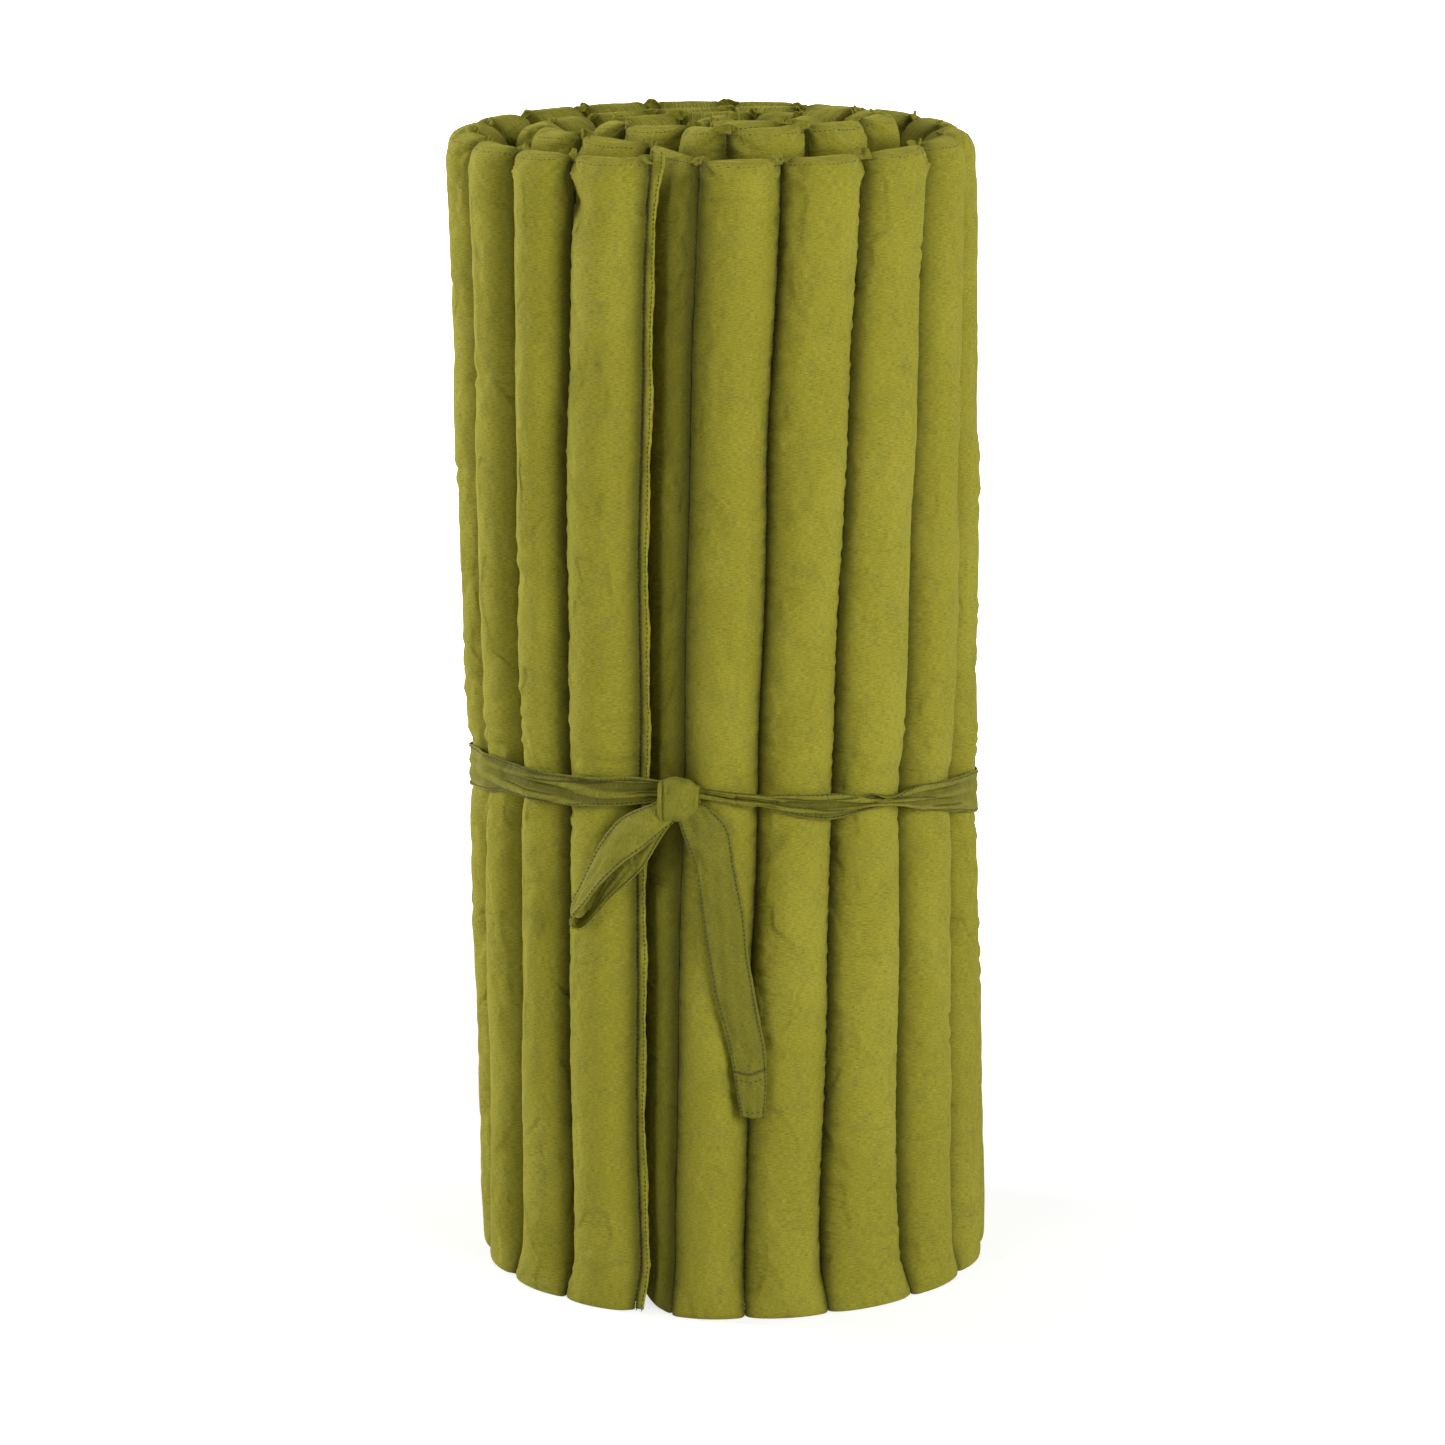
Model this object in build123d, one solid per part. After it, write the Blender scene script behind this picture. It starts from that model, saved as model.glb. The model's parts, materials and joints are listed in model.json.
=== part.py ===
"""A roll-up sleeping mattress, rolled and standing on its end.

The mat is a row of stuffed cloth channels, sewn side by side. Rolled up, the row is a
spiral of three turns round a folded core, seen from above it winds inwards clockwise. The
channels stand upright, +Z is up and the roll's axis is the Z axis. Every channel is a
cotton casing with a kapok filling in it, and neighbours hinge on the sewn seam between
them. A cloth tie goes round the outer turn and ends in a knot with one loop and one tail.

Azimuths are degrees about +Z from the front, -Y, and are positive towards +X.
"""

from build123d import *

import os
from functools import lru_cache
from math import acos, asin, atan2, cos, degrees, floor, radians, sin, tan

# Driving dimensions, in millimetres and degrees.

# The mat
MAT_WIDTH = 760.0  # the channels' length, and the height of the roll
CHANNEL_PITCH = 51.5  # from seam to seam
STEP_WIDTH = 62.0  # of the channel that leaves the outer turn: pulled flat, it is wider
OUTER_BULGE = 22.5  # how far a channel stands out from the line between its seams
INNER_BULGE = 20.0
STEP_OUTER_BULGE = 15.0
STEP_INNER_BULGE = 13.0
SEAM_CLEARANCE = 0.4  # from a channel's edge to its seam's line
WEDGE_CLEARANCE = 2.0  # degrees left free on each side where a seam folds
CASING_WALL = 0.6
FILLING_CLEARANCE = 0.3

# The channels' ends
EAR_RISE = 7.0  # how far the corners at the seams stand above the middle of a channel's end
OUTER_END_ROUND = 12.0
INNER_END_ROUND = 26.0
FOOT_ROUND = 5.0
END_FLAT = 3.0  # the least flat left between the two rounds of an end
END_SPARE = 1.0  # how far the end's profile stands clear of the bulges on each side

# The roll
FREE_END_AZIMUTH = -18.6
FREE_END_GAP = 12.2  # degrees between the free end and the seam where the outer turn ends
OUTER_TURN_CHANNELS = 18
TURNS = 3
TURN_CLEARANCE = 3.6  # between the channels of one turn and the next
STEP_ROOM = 44.0  # left at the end of a turn for the channel that steps inwards
CORE_FOLD = 80.0

# The hems at the two free ends of the mat
HEM_WIDTH = 7.0
HEM_THICKNESS = 2.0
HEM_CLEARANCE = 0.2

# The tie
TIE_WIDTH = 30.0
TIE_THICKNESS = 1.6
TIE_CLEARANCE = 0.5
TIE_MIDDLE_HEIGHT = 325.0
TIE_FRONT_RISE = 28.0  # the front of the tie is higher than its middle by this

# Its knot
KNOT_AZIMUTH = -9.2
KNOT_WIDTH = 24.0
KNOT_HEIGHT = 27.0
KNOT_DEPTH = 16.0
KNOT_ROUND = 5.0
KNOT_WALL = 2.0
KNOT_LOWERING = 3.0  # the knot's middle hangs this far below the tie's
BUNDLE_CLEARANCE = 0.3

# Its loop
LOOP_AZIMUTH = -22.0
LOOP_SLOPE = 54.0  # degrees below the horizontal, towards the left
LOOP_LENGTH = 94.0
LOOP_WIDTH = 27.0
LOOP_ROOT_WIDTH = 12.0
LOOP_ROOT_DEPTH = 5.0
LOOP_TIP_DEPTH = 14.0
LOOP_DROP = 8.0  # from the knot's middle to the loop's root

# Its tail
TAIL_SLANT = 11.6  # degrees from the vertical, towards the right
TAIL_LENGTH = 200.0
TAIL_WIDTH = 27.0
TAIL_ROOT_WIDTH = 12.0
TAIL_TAPER = 60.0  # the length over which the tail opens to its full width
TAIL_SHIFT = 7.5  # from the knot's middle to the tail's root, towards the right
TAIL_CLEARANCE = 1.0

# Worked out from the sizes above

OUTER_TURN_STEP = (360 - FREE_END_GAP) / OUTER_TURN_CHANNELS
OUTER_TURN_RADIUS = CHANNEL_PITCH / 2 / sin(radians(OUTER_TURN_STEP / 2))
TURN_SPACING = OUTER_BULGE + INNER_BULGE + TURN_CLEARANCE
CROWN_RADIUS = OUTER_TURN_RADIUS * cos(radians(OUTER_TURN_STEP / 2)) + OUTER_BULGE
TIE_RADIUS = CROWN_RADIUS + TIE_CLEARANCE
TIE_OUTER_RADIUS = TIE_RADIUS + TIE_THICKNESS


def on_circle(radius, azimuth):
    """The point at this radius and azimuth, as (x, y)."""
    return radius * sin(radians(azimuth)), -radius * cos(radians(azimuth))


def step_angle(radius, width):
    """The azimuth that a channel of this width spans as it steps inwards to the next turn."""
    inner = radius - TURN_SPACING
    return degrees(acos((radius**2 + inner**2 - width**2) / (2 * radius * inner)))


def spiral():
    """The seams' places from the free end to the core, and the channels' widths."""
    azimuth = FREE_END_AZIMUTH
    seams, widths = [on_circle(OUTER_TURN_RADIUS, azimuth)], []
    for turn in range(TURNS):
        radius = OUTER_TURN_RADIUS - turn * TURN_SPACING
        step = 2 * degrees(asin(CHANNEL_PITCH / 2 / radius))
        room = degrees(STEP_ROOM / radius)
        count = floor((360 - room) / step) if turn else OUTER_TURN_CHANNELS
        for _ in range(count):
            azimuth -= step
            seams.append(on_circle(radius, azimuth))
            widths.append(CHANNEL_PITCH)
        widths.append(CHANNEL_PITCH if turn else STEP_WIDTH)
        azimuth -= step_angle(radius, widths[-1])
        seams.append(on_circle(radius - TURN_SPACING, azimuth))
    (x0, y0), (x1, y1) = seams[-2:]
    heading = atan2(y1 - y0, x1 - x0) - radians(CORE_FOLD)
    seams.append((x1 + CHANNEL_PITCH * cos(heading), y1 + CHANNEL_PITCH * sin(heading)))
    return seams, widths + [CHANNEL_PITCH]


SEAMS, WIDTHS = spiral()
HEADINGS = [
    degrees(atan2(y1 - y0, x1 - x0)) for (x0, y0), (x1, y1) in zip(SEAMS, SEAMS[1:])
]
# How far the mat turns at each inner seam, clockwise from above
FOLDS = [(a - b + 180) % 360 - 180 for a, b in zip(HEADINGS, HEADINGS[1:])]


def bulge(wanted, width, folds):
    """A bulge that stays clear of its neighbours' where the seams beside it fold this way."""
    free = 90 - max(0, *folds) / 2 - WEDGE_CLEARANCE
    return min(wanted, (width / 2 - SEAM_CLEARANCE) * tan(radians(free / 2)))


def channel_place(index):
    """Where a channel stands: its X axis runs from seam to seam, and +Y faces outwards."""
    return Location((*SEAMS[index], 0), (0, 0, HEADINGS[index]))


def shrunk(profile, inset):
    """A profile moved inwards by the inset."""
    return offset(profile, amount=-inset) if inset else profile


def channel_body(width, outer, inner, inset):
    """A channel's pillow shape, moved inwards on every side by the inset."""
    left, right, middle = SEAM_CLEARANCE, width - SEAM_CLEARANCE, width / 2
    lens = make_face(
        [
            ThreePointArc((left, 0), (middle, outer), (right, 0)),
            ThreePointArc((right, 0), (middle, -inner), (left, 0)),
        ]
    )
    upright = extrude(shrunk(lens, inset), MAT_WIDTH)

    # Seen along the mat, the end is rounded over, more on its inner side.
    depth = outer + inner + 2 * END_SPARE
    side = Pos((outer - inner) / 2, MAT_WIDTH / 2) * Rectangle(depth, MAT_WIDTH)
    feet = side.vertices().group_by(Axis.Y)[0]
    side = fillet(feet, FOOT_ROUND)
    inner_top = side.vertices().group_by(Axis.Y)[-1].sort_by(Axis.X)[0]
    side = fillet(inner_top, min(INNER_END_ROUND, depth - OUTER_END_ROUND - END_FLAT))
    outer_top = side.vertices().group_by(Axis.Y)[-1].sort_by(Axis.X)[-1]
    side = fillet(outer_top, OUTER_END_ROUND)
    along = extrude(Plane.YZ * shrunk(side, inset), width)

    # Seen from outside, the end dips between the corners at its seams.
    dip = make_face(
        [
            Polyline((0, MAT_WIDTH), (0, 0), (width, 0), (width, MAT_WIDTH)),
            ThreePointArc((width, MAT_WIDTH), (middle, MAT_WIDTH - EAR_RISE), (0, MAT_WIDTH)),
        ]
    )
    through = extrude(Plane.XZ * shrunk(dip, inset), depth, both=True)
    return upright & along & through


@lru_cache(maxsize=None)
def stuffed_channel(width, outer, inner):
    """A channel's casing and its filling, in the channel's own frame."""
    casing = channel_body(width, outer, inner, 0) - channel_body(width, outer, inner, CASING_WALL)
    filling = channel_body(width, outer, inner, CASING_WALL + FILLING_CLEARANCE)
    return casing, filling


def hem(index, edge):
    """The flat sewn hem at a free end of the mat; edge is the channel's edge it adjoins."""
    side = 1 if edge else -1
    start = edge - side * (SEAM_CLEARANCE - HEM_CLEARANCE)
    strip = Box(
        HEM_WIDTH,
        HEM_THICKNESS,
        MAT_WIDTH - 2 * EAR_RISE,
        align=(Align.MIN if edge else Align.MAX, Align.CENTER, Align.MIN),
    )
    return channel_place(index) * Pos(start, 0, EAR_RISE) * strip


def channel(index):
    """The solids of one channel, in their place in the roll."""
    folds = FOLDS[max(0, index - 1) : index + 1]
    width, steps_in = WIDTHS[index], index == OUTER_TURN_CHANNELS
    outer = STEP_OUTER_BULGE if steps_in else OUTER_BULGE
    inner = STEP_INNER_BULGE if steps_in else INNER_BULGE
    outer = bulge(outer, width, [-fold for fold in folds])
    inner = bulge(inner, width, folds)
    place = channel_place(index)
    solids = [place * solid for solid in stuffed_channel(width, round(outer, 4), round(inner, 4))]
    if index == 0:
        solids.append(hem(index, 0))
    if index == len(WIDTHS) - 1:
        solids.append(hem(index, width))
    return solids


# The knot's frame: X to the right along the roll's face, -Y outwards
KNOT_HEIGHT_ABOVE_FLOOR = (
    TIE_MIDDLE_HEIGHT + TIE_FRONT_RISE * cos(radians(KNOT_AZIMUTH)) - KNOT_LOWERING
)
KNOT_PLACE = Location(
    (*on_circle(TIE_RADIUS + TIE_THICKNESS / 2, KNOT_AZIMUTH), KNOT_HEIGHT_ABOVE_FLOOR),
    (0, 0, KNOT_AZIMUTH),
)


def tie_band():
    """The whole band round the outer turn, tilted up at the front."""
    height = 2 * (TIE_FRONT_RISE + TIE_WIDTH)
    ring = Cylinder(TIE_OUTER_RADIUS, height) - Cylinder(TIE_RADIUS, height)
    tilt = degrees(atan2(TIE_FRONT_RISE, TIE_RADIUS))
    slab = Rot(-tilt, 0, 0) * Box(
        4 * TIE_OUTER_RADIUS, 4 * TIE_OUTER_RADIUS, TIE_WIDTH * cos(radians(tilt))
    )
    return Pos(0, 0, TIE_MIDDLE_HEIGHT) * (ring & slab)


def tie_span(band, index):
    """The stretch of the tie that lies on one channel and moves with it."""
    reach = 2 * TIE_OUTER_RADIUS
    beside_knot = KNOT_WIDTH / 2 + TIE_CLEARANCE
    width = WIDTHS[index]
    start = -reach if index == 0 else SEAM_CLEARANCE
    window = Box(
        width - SEAM_CLEARANCE - start,
        2 * OUTER_BULGE,
        MAT_WIDTH,
        align=(Align.MAX, Align.MIN, Align.MIN),
    )
    window = channel_place(index) * Pos(width - SEAM_CLEARANCE, 0, 0) * window
    span = band & window
    if index in (0, OUTER_TURN_CHANNELS - 1):
        side = -1 if index == 0 else 1
        half = Box(
            reach,
            reach,
            MAT_WIDTH,
            align=(Align.MAX if side < 0 else Align.MIN, Align.CENTER, Align.CENTER),
        )
        span &= KNOT_PLACE * Pos(side * beside_knot, 0, 0) * half
    return span


def knot():
    """The knot: the turn of cloth that closes it, and the gathered tie inside."""
    block = Box(KNOT_WIDTH, KNOT_DEPTH, KNOT_HEIGHT)
    block = fillet(block.edges().filter_by(Axis.X), KNOT_ROUND)
    hollow = Box(KNOT_WIDTH, KNOT_DEPTH - 2 * KNOT_WALL, KNOT_HEIGHT - 2 * KNOT_WALL)
    hollow = fillet(hollow.edges().filter_by(Axis.X), KNOT_ROUND - KNOT_WALL)
    less = 2 * (KNOT_WALL + BUNDLE_CLEARANCE)
    bundle = Box(KNOT_WIDTH, KNOT_DEPTH - less, KNOT_HEIGHT - less)
    bundle = fillet(bundle.edges().filter_by(Axis.X), KNOT_ROUND - KNOT_WALL - BUNDLE_CLEARANCE)
    return [KNOT_PLACE * (block - hollow), KNOT_PLACE * bundle]


def loop_place():
    """The loop's frame: X along it from its root, Y across it, and Z outwards."""
    root_x = -(KNOT_WIDTH / 2 + TIE_CLEARANCE + LOOP_ROOT_WIDTH / 2 * sin(radians(LOOP_SLOPE)))
    corner = KNOT_PLACE * Pos(root_x, 0, -LOOP_DROP)
    radius = TIE_OUTER_RADIUS + TIE_CLEARANCE
    x, y, z = corner.position
    # the root slides out along the loop's own normal until it lies on the loop's plane
    normal = on_circle(1, LOOP_AZIMUTH)
    rise = radius - (x * normal[0] + y * normal[1])
    root = Vector(x + rise * normal[0], y + rise * normal[1], z)
    across = Vector(cos(radians(LOOP_AZIMUTH)), sin(radians(LOOP_AZIMUTH)), 0)
    along = across * -cos(radians(LOOP_SLOPE)) - Vector(0, 0, sin(radians(LOOP_SLOPE)))
    return Plane(origin=root, x_dir=along, z_dir=Vector(*normal, 0)).location


def tie_loop():
    """The loop of the half bow: a band closed on itself, narrower at its root."""
    root = LOOP_ROOT_DEPTH / 2
    tip = LOOP_TIP_DEPTH / 2
    ends = [
        Pos(root, root) * Circle(root),
        Pos(LOOP_LENGTH - tip, tip) * Circle(tip),
    ]
    profile = make_hull([end.edge() for end in ends])
    band = extrude(Plane.XZ * (profile - shrunk(profile, TIE_THICKNESS)), LOOP_WIDTH / 2, both=True)
    outline = Polyline(
        (0, -LOOP_ROOT_WIDTH / 2),
        (LOOP_LENGTH * 2 / 3, -LOOP_WIDTH / 2),
        (LOOP_LENGTH, -LOOP_WIDTH / 2),
        (LOOP_LENGTH, LOOP_WIDTH / 2),
        (LOOP_LENGTH * 2 / 3, LOOP_WIDTH / 2),
        (0, LOOP_ROOT_WIDTH / 2),
        close=True,
    )
    return loop_place() * (band & extrude(make_face(outline), LOOP_TIP_DEPTH))


def tail_place():
    """The tail's frame at the middle of its root: X across it, and -Z along it."""
    below_knot = KNOT_HEIGHT_ABOVE_FLOOR - KNOT_HEIGHT / 2 - TIE_CLEARANCE
    x = (KNOT_PLACE * Pos(TAIL_SHIFT, 0, 0)).position.X
    y = -(CROWN_RADIUS + TAIL_CLEARANCE + TIE_THICKNESS / 2)
    return Location((x, y, below_knot))


def tie_tail():
    """The tail of the half bow, a flat strip that hangs from the knot."""
    strip = make_face(
        Polyline(
            (-TAIL_ROOT_WIDTH / 2, 0),
            (-TAIL_WIDTH / 2, -TAIL_TAPER),
            (-TAIL_WIDTH / 2, -TAIL_LENGTH),
            (TAIL_WIDTH / 2, -TAIL_LENGTH),
            (TAIL_WIDTH / 2, -TAIL_TAPER),
            (TAIL_ROOT_WIDTH / 2, 0),
            close=True,
        )
    )
    plate = extrude(Plane.XZ * strip, TIE_THICKNESS / 2, both=True)
    drop = TAIL_ROOT_WIDTH / 2 * sin(radians(TAIL_SLANT))
    return tail_place() * Pos(0, 0, -drop) * Rot(0, -TAIL_SLANT, 0) * plate


def save(node, solids):
    """Write one node's solids to its own file."""
    shape = solids[0] if len(solids) == 1 else Compound(children=solids)
    export_step(shape, f"parts/{node}.step")


def main():
    """Build every node, and print the places that the joints turn about."""
    os.makedirs("parts", exist_ok=True)
    for index in range(len(WIDTHS)):
        save(f"channel_{index + 1:02d}", [s.solid() for s in channel(index)])
    band = tie_band()
    for index in range(1, OUTER_TURN_CHANNELS):
        save(f"tie_span_{index + 1:02d}", [tie_span(band, index).solid()])
    save("tie_knot", [s.solid() for s in knot()] + [tie_span(band, 0).solid()])
    save("tie_loop", [tie_loop().solid()])
    save("tie_tail", [tie_tail().solid()])

    length = sum(WIDTHS) + 2 * (HEM_WIDTH + SEAM_CLEARANCE)
    print(f"{len(WIDTHS)} channels, the mat lies {length:.0f} mm long")
    for number, ((x, y), fold) in enumerate(zip(SEAMS[1:], FOLDS), 1):
        print(f"seam {number} at {x:.3f}, {y:.3f} folds {fold:.4f} degrees")
    print("tail hangs from", tail_place().position)
    print("loop starts at", loop_place().position, "lies along", loop_place().x_axis.direction)


main()
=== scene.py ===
"""A roll-up sleeping mattress, rolled and standing on its end: the visual model.

The mat is a row of stuffed cotton channels, sewn side by side and rolled up. Each channel is a
cloth pouch, inflated by a cloth simulation, that stands where its CAD solid does. A cotton tie
goes round the roll and ends in a half bow. All lengths are in metres, except that names ending
in _mm and a ribbon's stations are in millimetres. +Z is up, and the roll's axis is the Z axis.
An azimuth is an angle about +Z from the front, -Y, positive towards +X.
"""

from __future__ import annotations

import json
import logging
import math
from dataclasses import dataclass, field
from enum import Enum
from typing import Any, Sequence

import bmesh
import bpy
import numpy as np
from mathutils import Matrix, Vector

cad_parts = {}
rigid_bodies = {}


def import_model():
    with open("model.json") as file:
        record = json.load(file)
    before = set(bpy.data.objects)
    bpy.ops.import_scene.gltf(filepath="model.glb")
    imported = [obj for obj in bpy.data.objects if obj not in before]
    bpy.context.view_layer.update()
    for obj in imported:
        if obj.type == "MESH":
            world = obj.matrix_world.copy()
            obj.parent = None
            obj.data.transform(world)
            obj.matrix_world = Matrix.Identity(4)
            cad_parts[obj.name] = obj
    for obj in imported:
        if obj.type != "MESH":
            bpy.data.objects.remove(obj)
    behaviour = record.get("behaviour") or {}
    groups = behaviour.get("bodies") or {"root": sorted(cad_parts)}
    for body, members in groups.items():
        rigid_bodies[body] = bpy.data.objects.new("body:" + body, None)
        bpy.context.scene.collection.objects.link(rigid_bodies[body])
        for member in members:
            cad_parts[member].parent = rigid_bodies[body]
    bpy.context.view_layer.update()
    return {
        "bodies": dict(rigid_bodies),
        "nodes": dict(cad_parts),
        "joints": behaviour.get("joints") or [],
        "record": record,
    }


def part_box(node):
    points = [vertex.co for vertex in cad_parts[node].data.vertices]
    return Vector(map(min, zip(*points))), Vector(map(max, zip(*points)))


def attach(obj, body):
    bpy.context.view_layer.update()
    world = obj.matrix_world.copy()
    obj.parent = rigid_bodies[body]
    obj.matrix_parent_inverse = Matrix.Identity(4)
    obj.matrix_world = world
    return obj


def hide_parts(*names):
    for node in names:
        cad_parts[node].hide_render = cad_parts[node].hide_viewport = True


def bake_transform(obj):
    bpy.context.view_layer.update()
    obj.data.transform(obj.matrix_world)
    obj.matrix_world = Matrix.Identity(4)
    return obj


LOG = logging.getLogger("rolled_mattress")
MM = 0.001
BOW_RADIUS_MM = 171  # the radius of the roll's surface behind the bow
Array = np.ndarray


class Held(Enum):
    """How a sheet of cloth is held."""

    STRETCHED = "stretched"
    HUNG = "hung"
    FOLDED = "folded"
    GATHERED = "gathered"


class Slot(Enum):
    """The record's material slots."""

    CASING = "casing"
    TIE = "tie"


# --- Small helpers -----------------------------------------------------------------------------


def smooth(share: Array | float) -> Array:
    """Ease a share from 0 to 1, flat at both ends."""
    share = np.clip(share, 0.0, 1.0)
    return share * share * (3 - 2 * share)


def hump(distance: Array, width: float) -> Array:
    """A bell curve that is 1 at no distance and fades over the width."""
    return np.exp(-((distance / width) ** 2))


def eased(at: Array, stations: Sequence[tuple[float, float]]) -> Array:
    """Interpolate smoothly between a few stations.

    Args:
        at: Where to evaluate.
        stations: (place, value) pairs, with rising places.

    Returns:
        The values at the places.
    """
    places, values = (np.array(row, float) for row in zip(*stations))
    at = np.clip(np.asarray(at, float), places[0], places[-1])
    left = np.clip(np.searchsorted(places, at, side="right") - 1, 0, len(places) - 2)
    share = smooth((at - places[left]) / (places[left + 1] - places[left]))
    return values[left] * (1 - share) + values[left + 1] * share


def spline(points: Array, count: int) -> Array:
    """Pass a Catmull-Rom spline through points.

    Args:
        points: The points, one in each row.
        count: How many points to return.

    Returns:
        Points along the spline, at even steps of its parameter.
    """
    points = np.asarray(points, float)
    before, after = 2 * points[:1] - points[1:2], 2 * points[-1:] - points[-2:-1]
    padded = np.concatenate([before, points, after])
    at = np.linspace(0, len(points) - 1, count)
    start = np.minimum(at.astype(int), len(points) - 2)
    t = (at - start).reshape(-1, *[1] * (points.ndim - 1))
    a, b, c, d = (padded[start + step] for step in range(4))
    return 0.5 * (
        2 * b + (c - a) * t + (2 * a - 5 * b + 4 * c - d) * t**2 + (3 * b - a - 3 * c + d) * t**3
    )


def running_length(points: Array) -> Array:
    """The length from the first point to each point."""
    return np.r_[0.0, np.cumsum(np.linalg.norm(np.diff(points, axis=0), axis=1))]


def resampled(points: Array, count: int) -> Array:
    """Divide a run of points into equal steps, leaving out its first point.

    Args:
        points: The run's points.
        count: How many steps.

    Returns:
        The ends of the steps.
    """
    points = np.asarray(points, float)
    length = running_length(points)
    if length[-1] == 0:
        return np.repeat(points[:1], count, axis=0)
    steps = np.linspace(0, length[-1], count + 1)[1:]
    return np.stack([np.interp(steps, length, column) for column in points.T], axis=1)


def around(azimuth: Array | float, radius: Array | float, height: Array | float) -> Array:
    """The points at these azimuths (in degrees), radii and heights."""
    turn = np.radians(azimuth)
    x, y, z = np.broadcast_arrays(radius * np.sin(turn), -radius * np.cos(turn), height)
    return np.stack([x, y, z], axis=-1)


def azimuth_of(points: Array) -> Array:
    """The azimuths of points, in degrees."""
    return np.degrees(np.arctan2(points[..., 0], -points[..., 1]))


# --- Meshes ------------------------------------------------------------------------------------


def cloth_mesh(name: str, vertices: Array, faces: Array, cloth: Array) -> bpy.types.Object:
    """Make a mesh object of quads with the cloth's own coordinates.

    Args:
        name: The object's name.
        vertices: The points, one in each row.
        faces: Four vertex numbers in each row.
        cloth: For each face's corners, the place on the cloth in metres.

    Returns:
        The object, linked to the scene and shaded smooth.
    """
    mesh = bpy.data.meshes.new(name)
    mesh.from_pydata(vertices.tolist(), [], faces.tolist())
    layer = mesh.uv_layers.new(name="cloth")
    layer.data.foreach_set("uv", np.asarray(cloth, np.float32).ravel())
    mesh.shade_smooth()
    piece = bpy.data.objects.new(name, mesh)
    bpy.context.scene.collection.objects.link(piece)
    return piece


def grid_faces(grid: Array, closed: bool = False) -> Array:
    """The quads of a grid of vertex numbers.

    Args:
        grid: Vertex numbers, by row and column.
        closed: Whether the last column joins the first.

    Returns:
        Four vertex numbers for each quad.
    """
    if closed:
        grid = np.hstack([grid, grid[:, :1]])
    quads = np.stack([grid[:-1, :-1], grid[:-1, 1:], grid[1:, 1:], grid[1:, :-1]], axis=-1)
    return quads.reshape(-1, 4)


def sheet_mesh(name: str, points: Array, flipped: bool = False) -> bpy.types.Object:
    """Make a sheet from a grid of points.

    Args:
        name: The object's name.
        points: The points, by row and column.
        flipped: Whether to turn its faces over.

    Returns:
        The sheet's object. Its cloth coordinates are the lengths along and across it.
    """
    rows, columns = points.shape[:2]
    grid = np.arange(rows * columns).reshape(rows, columns)
    along = running_length(points.mean(axis=1))
    across = running_length(points[rows // 2])
    places = np.stack(np.meshgrid(across, along), axis=-1).reshape(-1, 2)
    faces = grid_faces(grid)
    if flipped:
        faces = faces[:, ::-1]
    return cloth_mesh(name, points.reshape(-1, 3), faces, places[faces])


def settled(piece: bpy.types.Object) -> bpy.types.Object:
    """Apply a piece's modifiers to its mesh.

    Args:
        piece: The piece.

    Returns:
        The same piece, with no modifiers.
    """
    graph = bpy.context.evaluated_depsgraph_get()
    mesh = bpy.data.meshes.new_from_object(piece.evaluated_get(graph), depsgraph=graph)
    piece.modifiers.clear()
    piece.data = mesh
    return piece


def subdivided(piece: bpy.types.Object, levels: int = 1) -> bpy.types.Object:
    """Smooth a piece by subdivision.

    Args:
        piece: The piece.
        levels: How often each face is divided.

    Returns:
        The same piece, with the subdivision applied.
    """
    modifier = piece.modifiers.new("rounding", "SUBSURF")
    modifier.levels = modifier.render_levels = levels
    modifier.boundary_smooth = "PRESERVE_CORNERS"
    return settled(piece)


def thickened(piece: bpy.types.Object, thickness: float) -> bpy.types.Object:
    """Give a sheet its thickness.

    Args:
        piece: The sheet.
        thickness: From its one face to the other.

    Returns:
        The same piece, closed, with its rim's edges sharp.
    """
    modifier = piece.modifiers.new("thickness", "SOLIDIFY")
    modifier.thickness = thickness
    modifier.offset = -1.0
    modifier.use_even_offset = False
    modifier.use_rim = True
    return settled(piece)


def read_points(piece: bpy.types.Object) -> Array:
    """The coordinates of a piece's vertices, one in each row."""
    points = np.empty(len(piece.data.vertices) * 3)
    piece.data.vertices.foreach_get("co", points)
    return points.reshape(-1, 3)


def write_points(piece: bpy.types.Object, points: Array) -> None:
    """Move a piece's vertices."""
    piece.data.vertices.foreach_set("co", points.ravel())
    piece.data.update()


def read_normals(piece: bpy.types.Object) -> Array:
    """The normals at a piece's vertices, one in each row."""
    normals = np.empty(len(piece.data.vertices) * 3)
    piece.data.vertex_normals.foreach_get("vector", normals)
    return normals.reshape(-1, 3)


def mark(piece: bpy.types.Object, name: str, values: Array) -> None:
    """Store a number for each vertex of a piece, for its material to read."""
    layer = piece.data.attributes.new(name, "FLOAT", "POINT")
    layer.data.foreach_set("value", np.asarray(values, np.float32))


def absorb(piece: bpy.types.Object, others: Sequence[bpy.types.Object]) -> None:
    """Join other pieces' meshes to a piece, and remove them.

    Args:
        piece: The piece that grows.
        others: The pieces that it takes in.
    """
    whole = bmesh.new()
    whole.from_mesh(piece.data)
    for other in others:
        whole.from_mesh(other.data)
        bpy.data.objects.remove(other)
    whole.to_mesh(piece.data)
    whole.free()
    piece.data.update()


def dressed(
    piece: bpy.types.Object, material: bpy.types.Material, slot: Slot, *nodes: str
) -> bpy.types.Object:
    """Give a piece its material, and hide the CAD nodes that it stands for.

    Args:
        piece: The piece.
        material: Its finish.
        slot: Not used.
        nodes: The CAD nodes that it replaces.

    Returns:
        The same piece.
    """
    piece.data.materials.clear()
    piece.data.materials.append(material)
    if nodes:
        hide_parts(*nodes)
    return piece


# --- Finishes ----------------------------------------------------------------------------------


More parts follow.
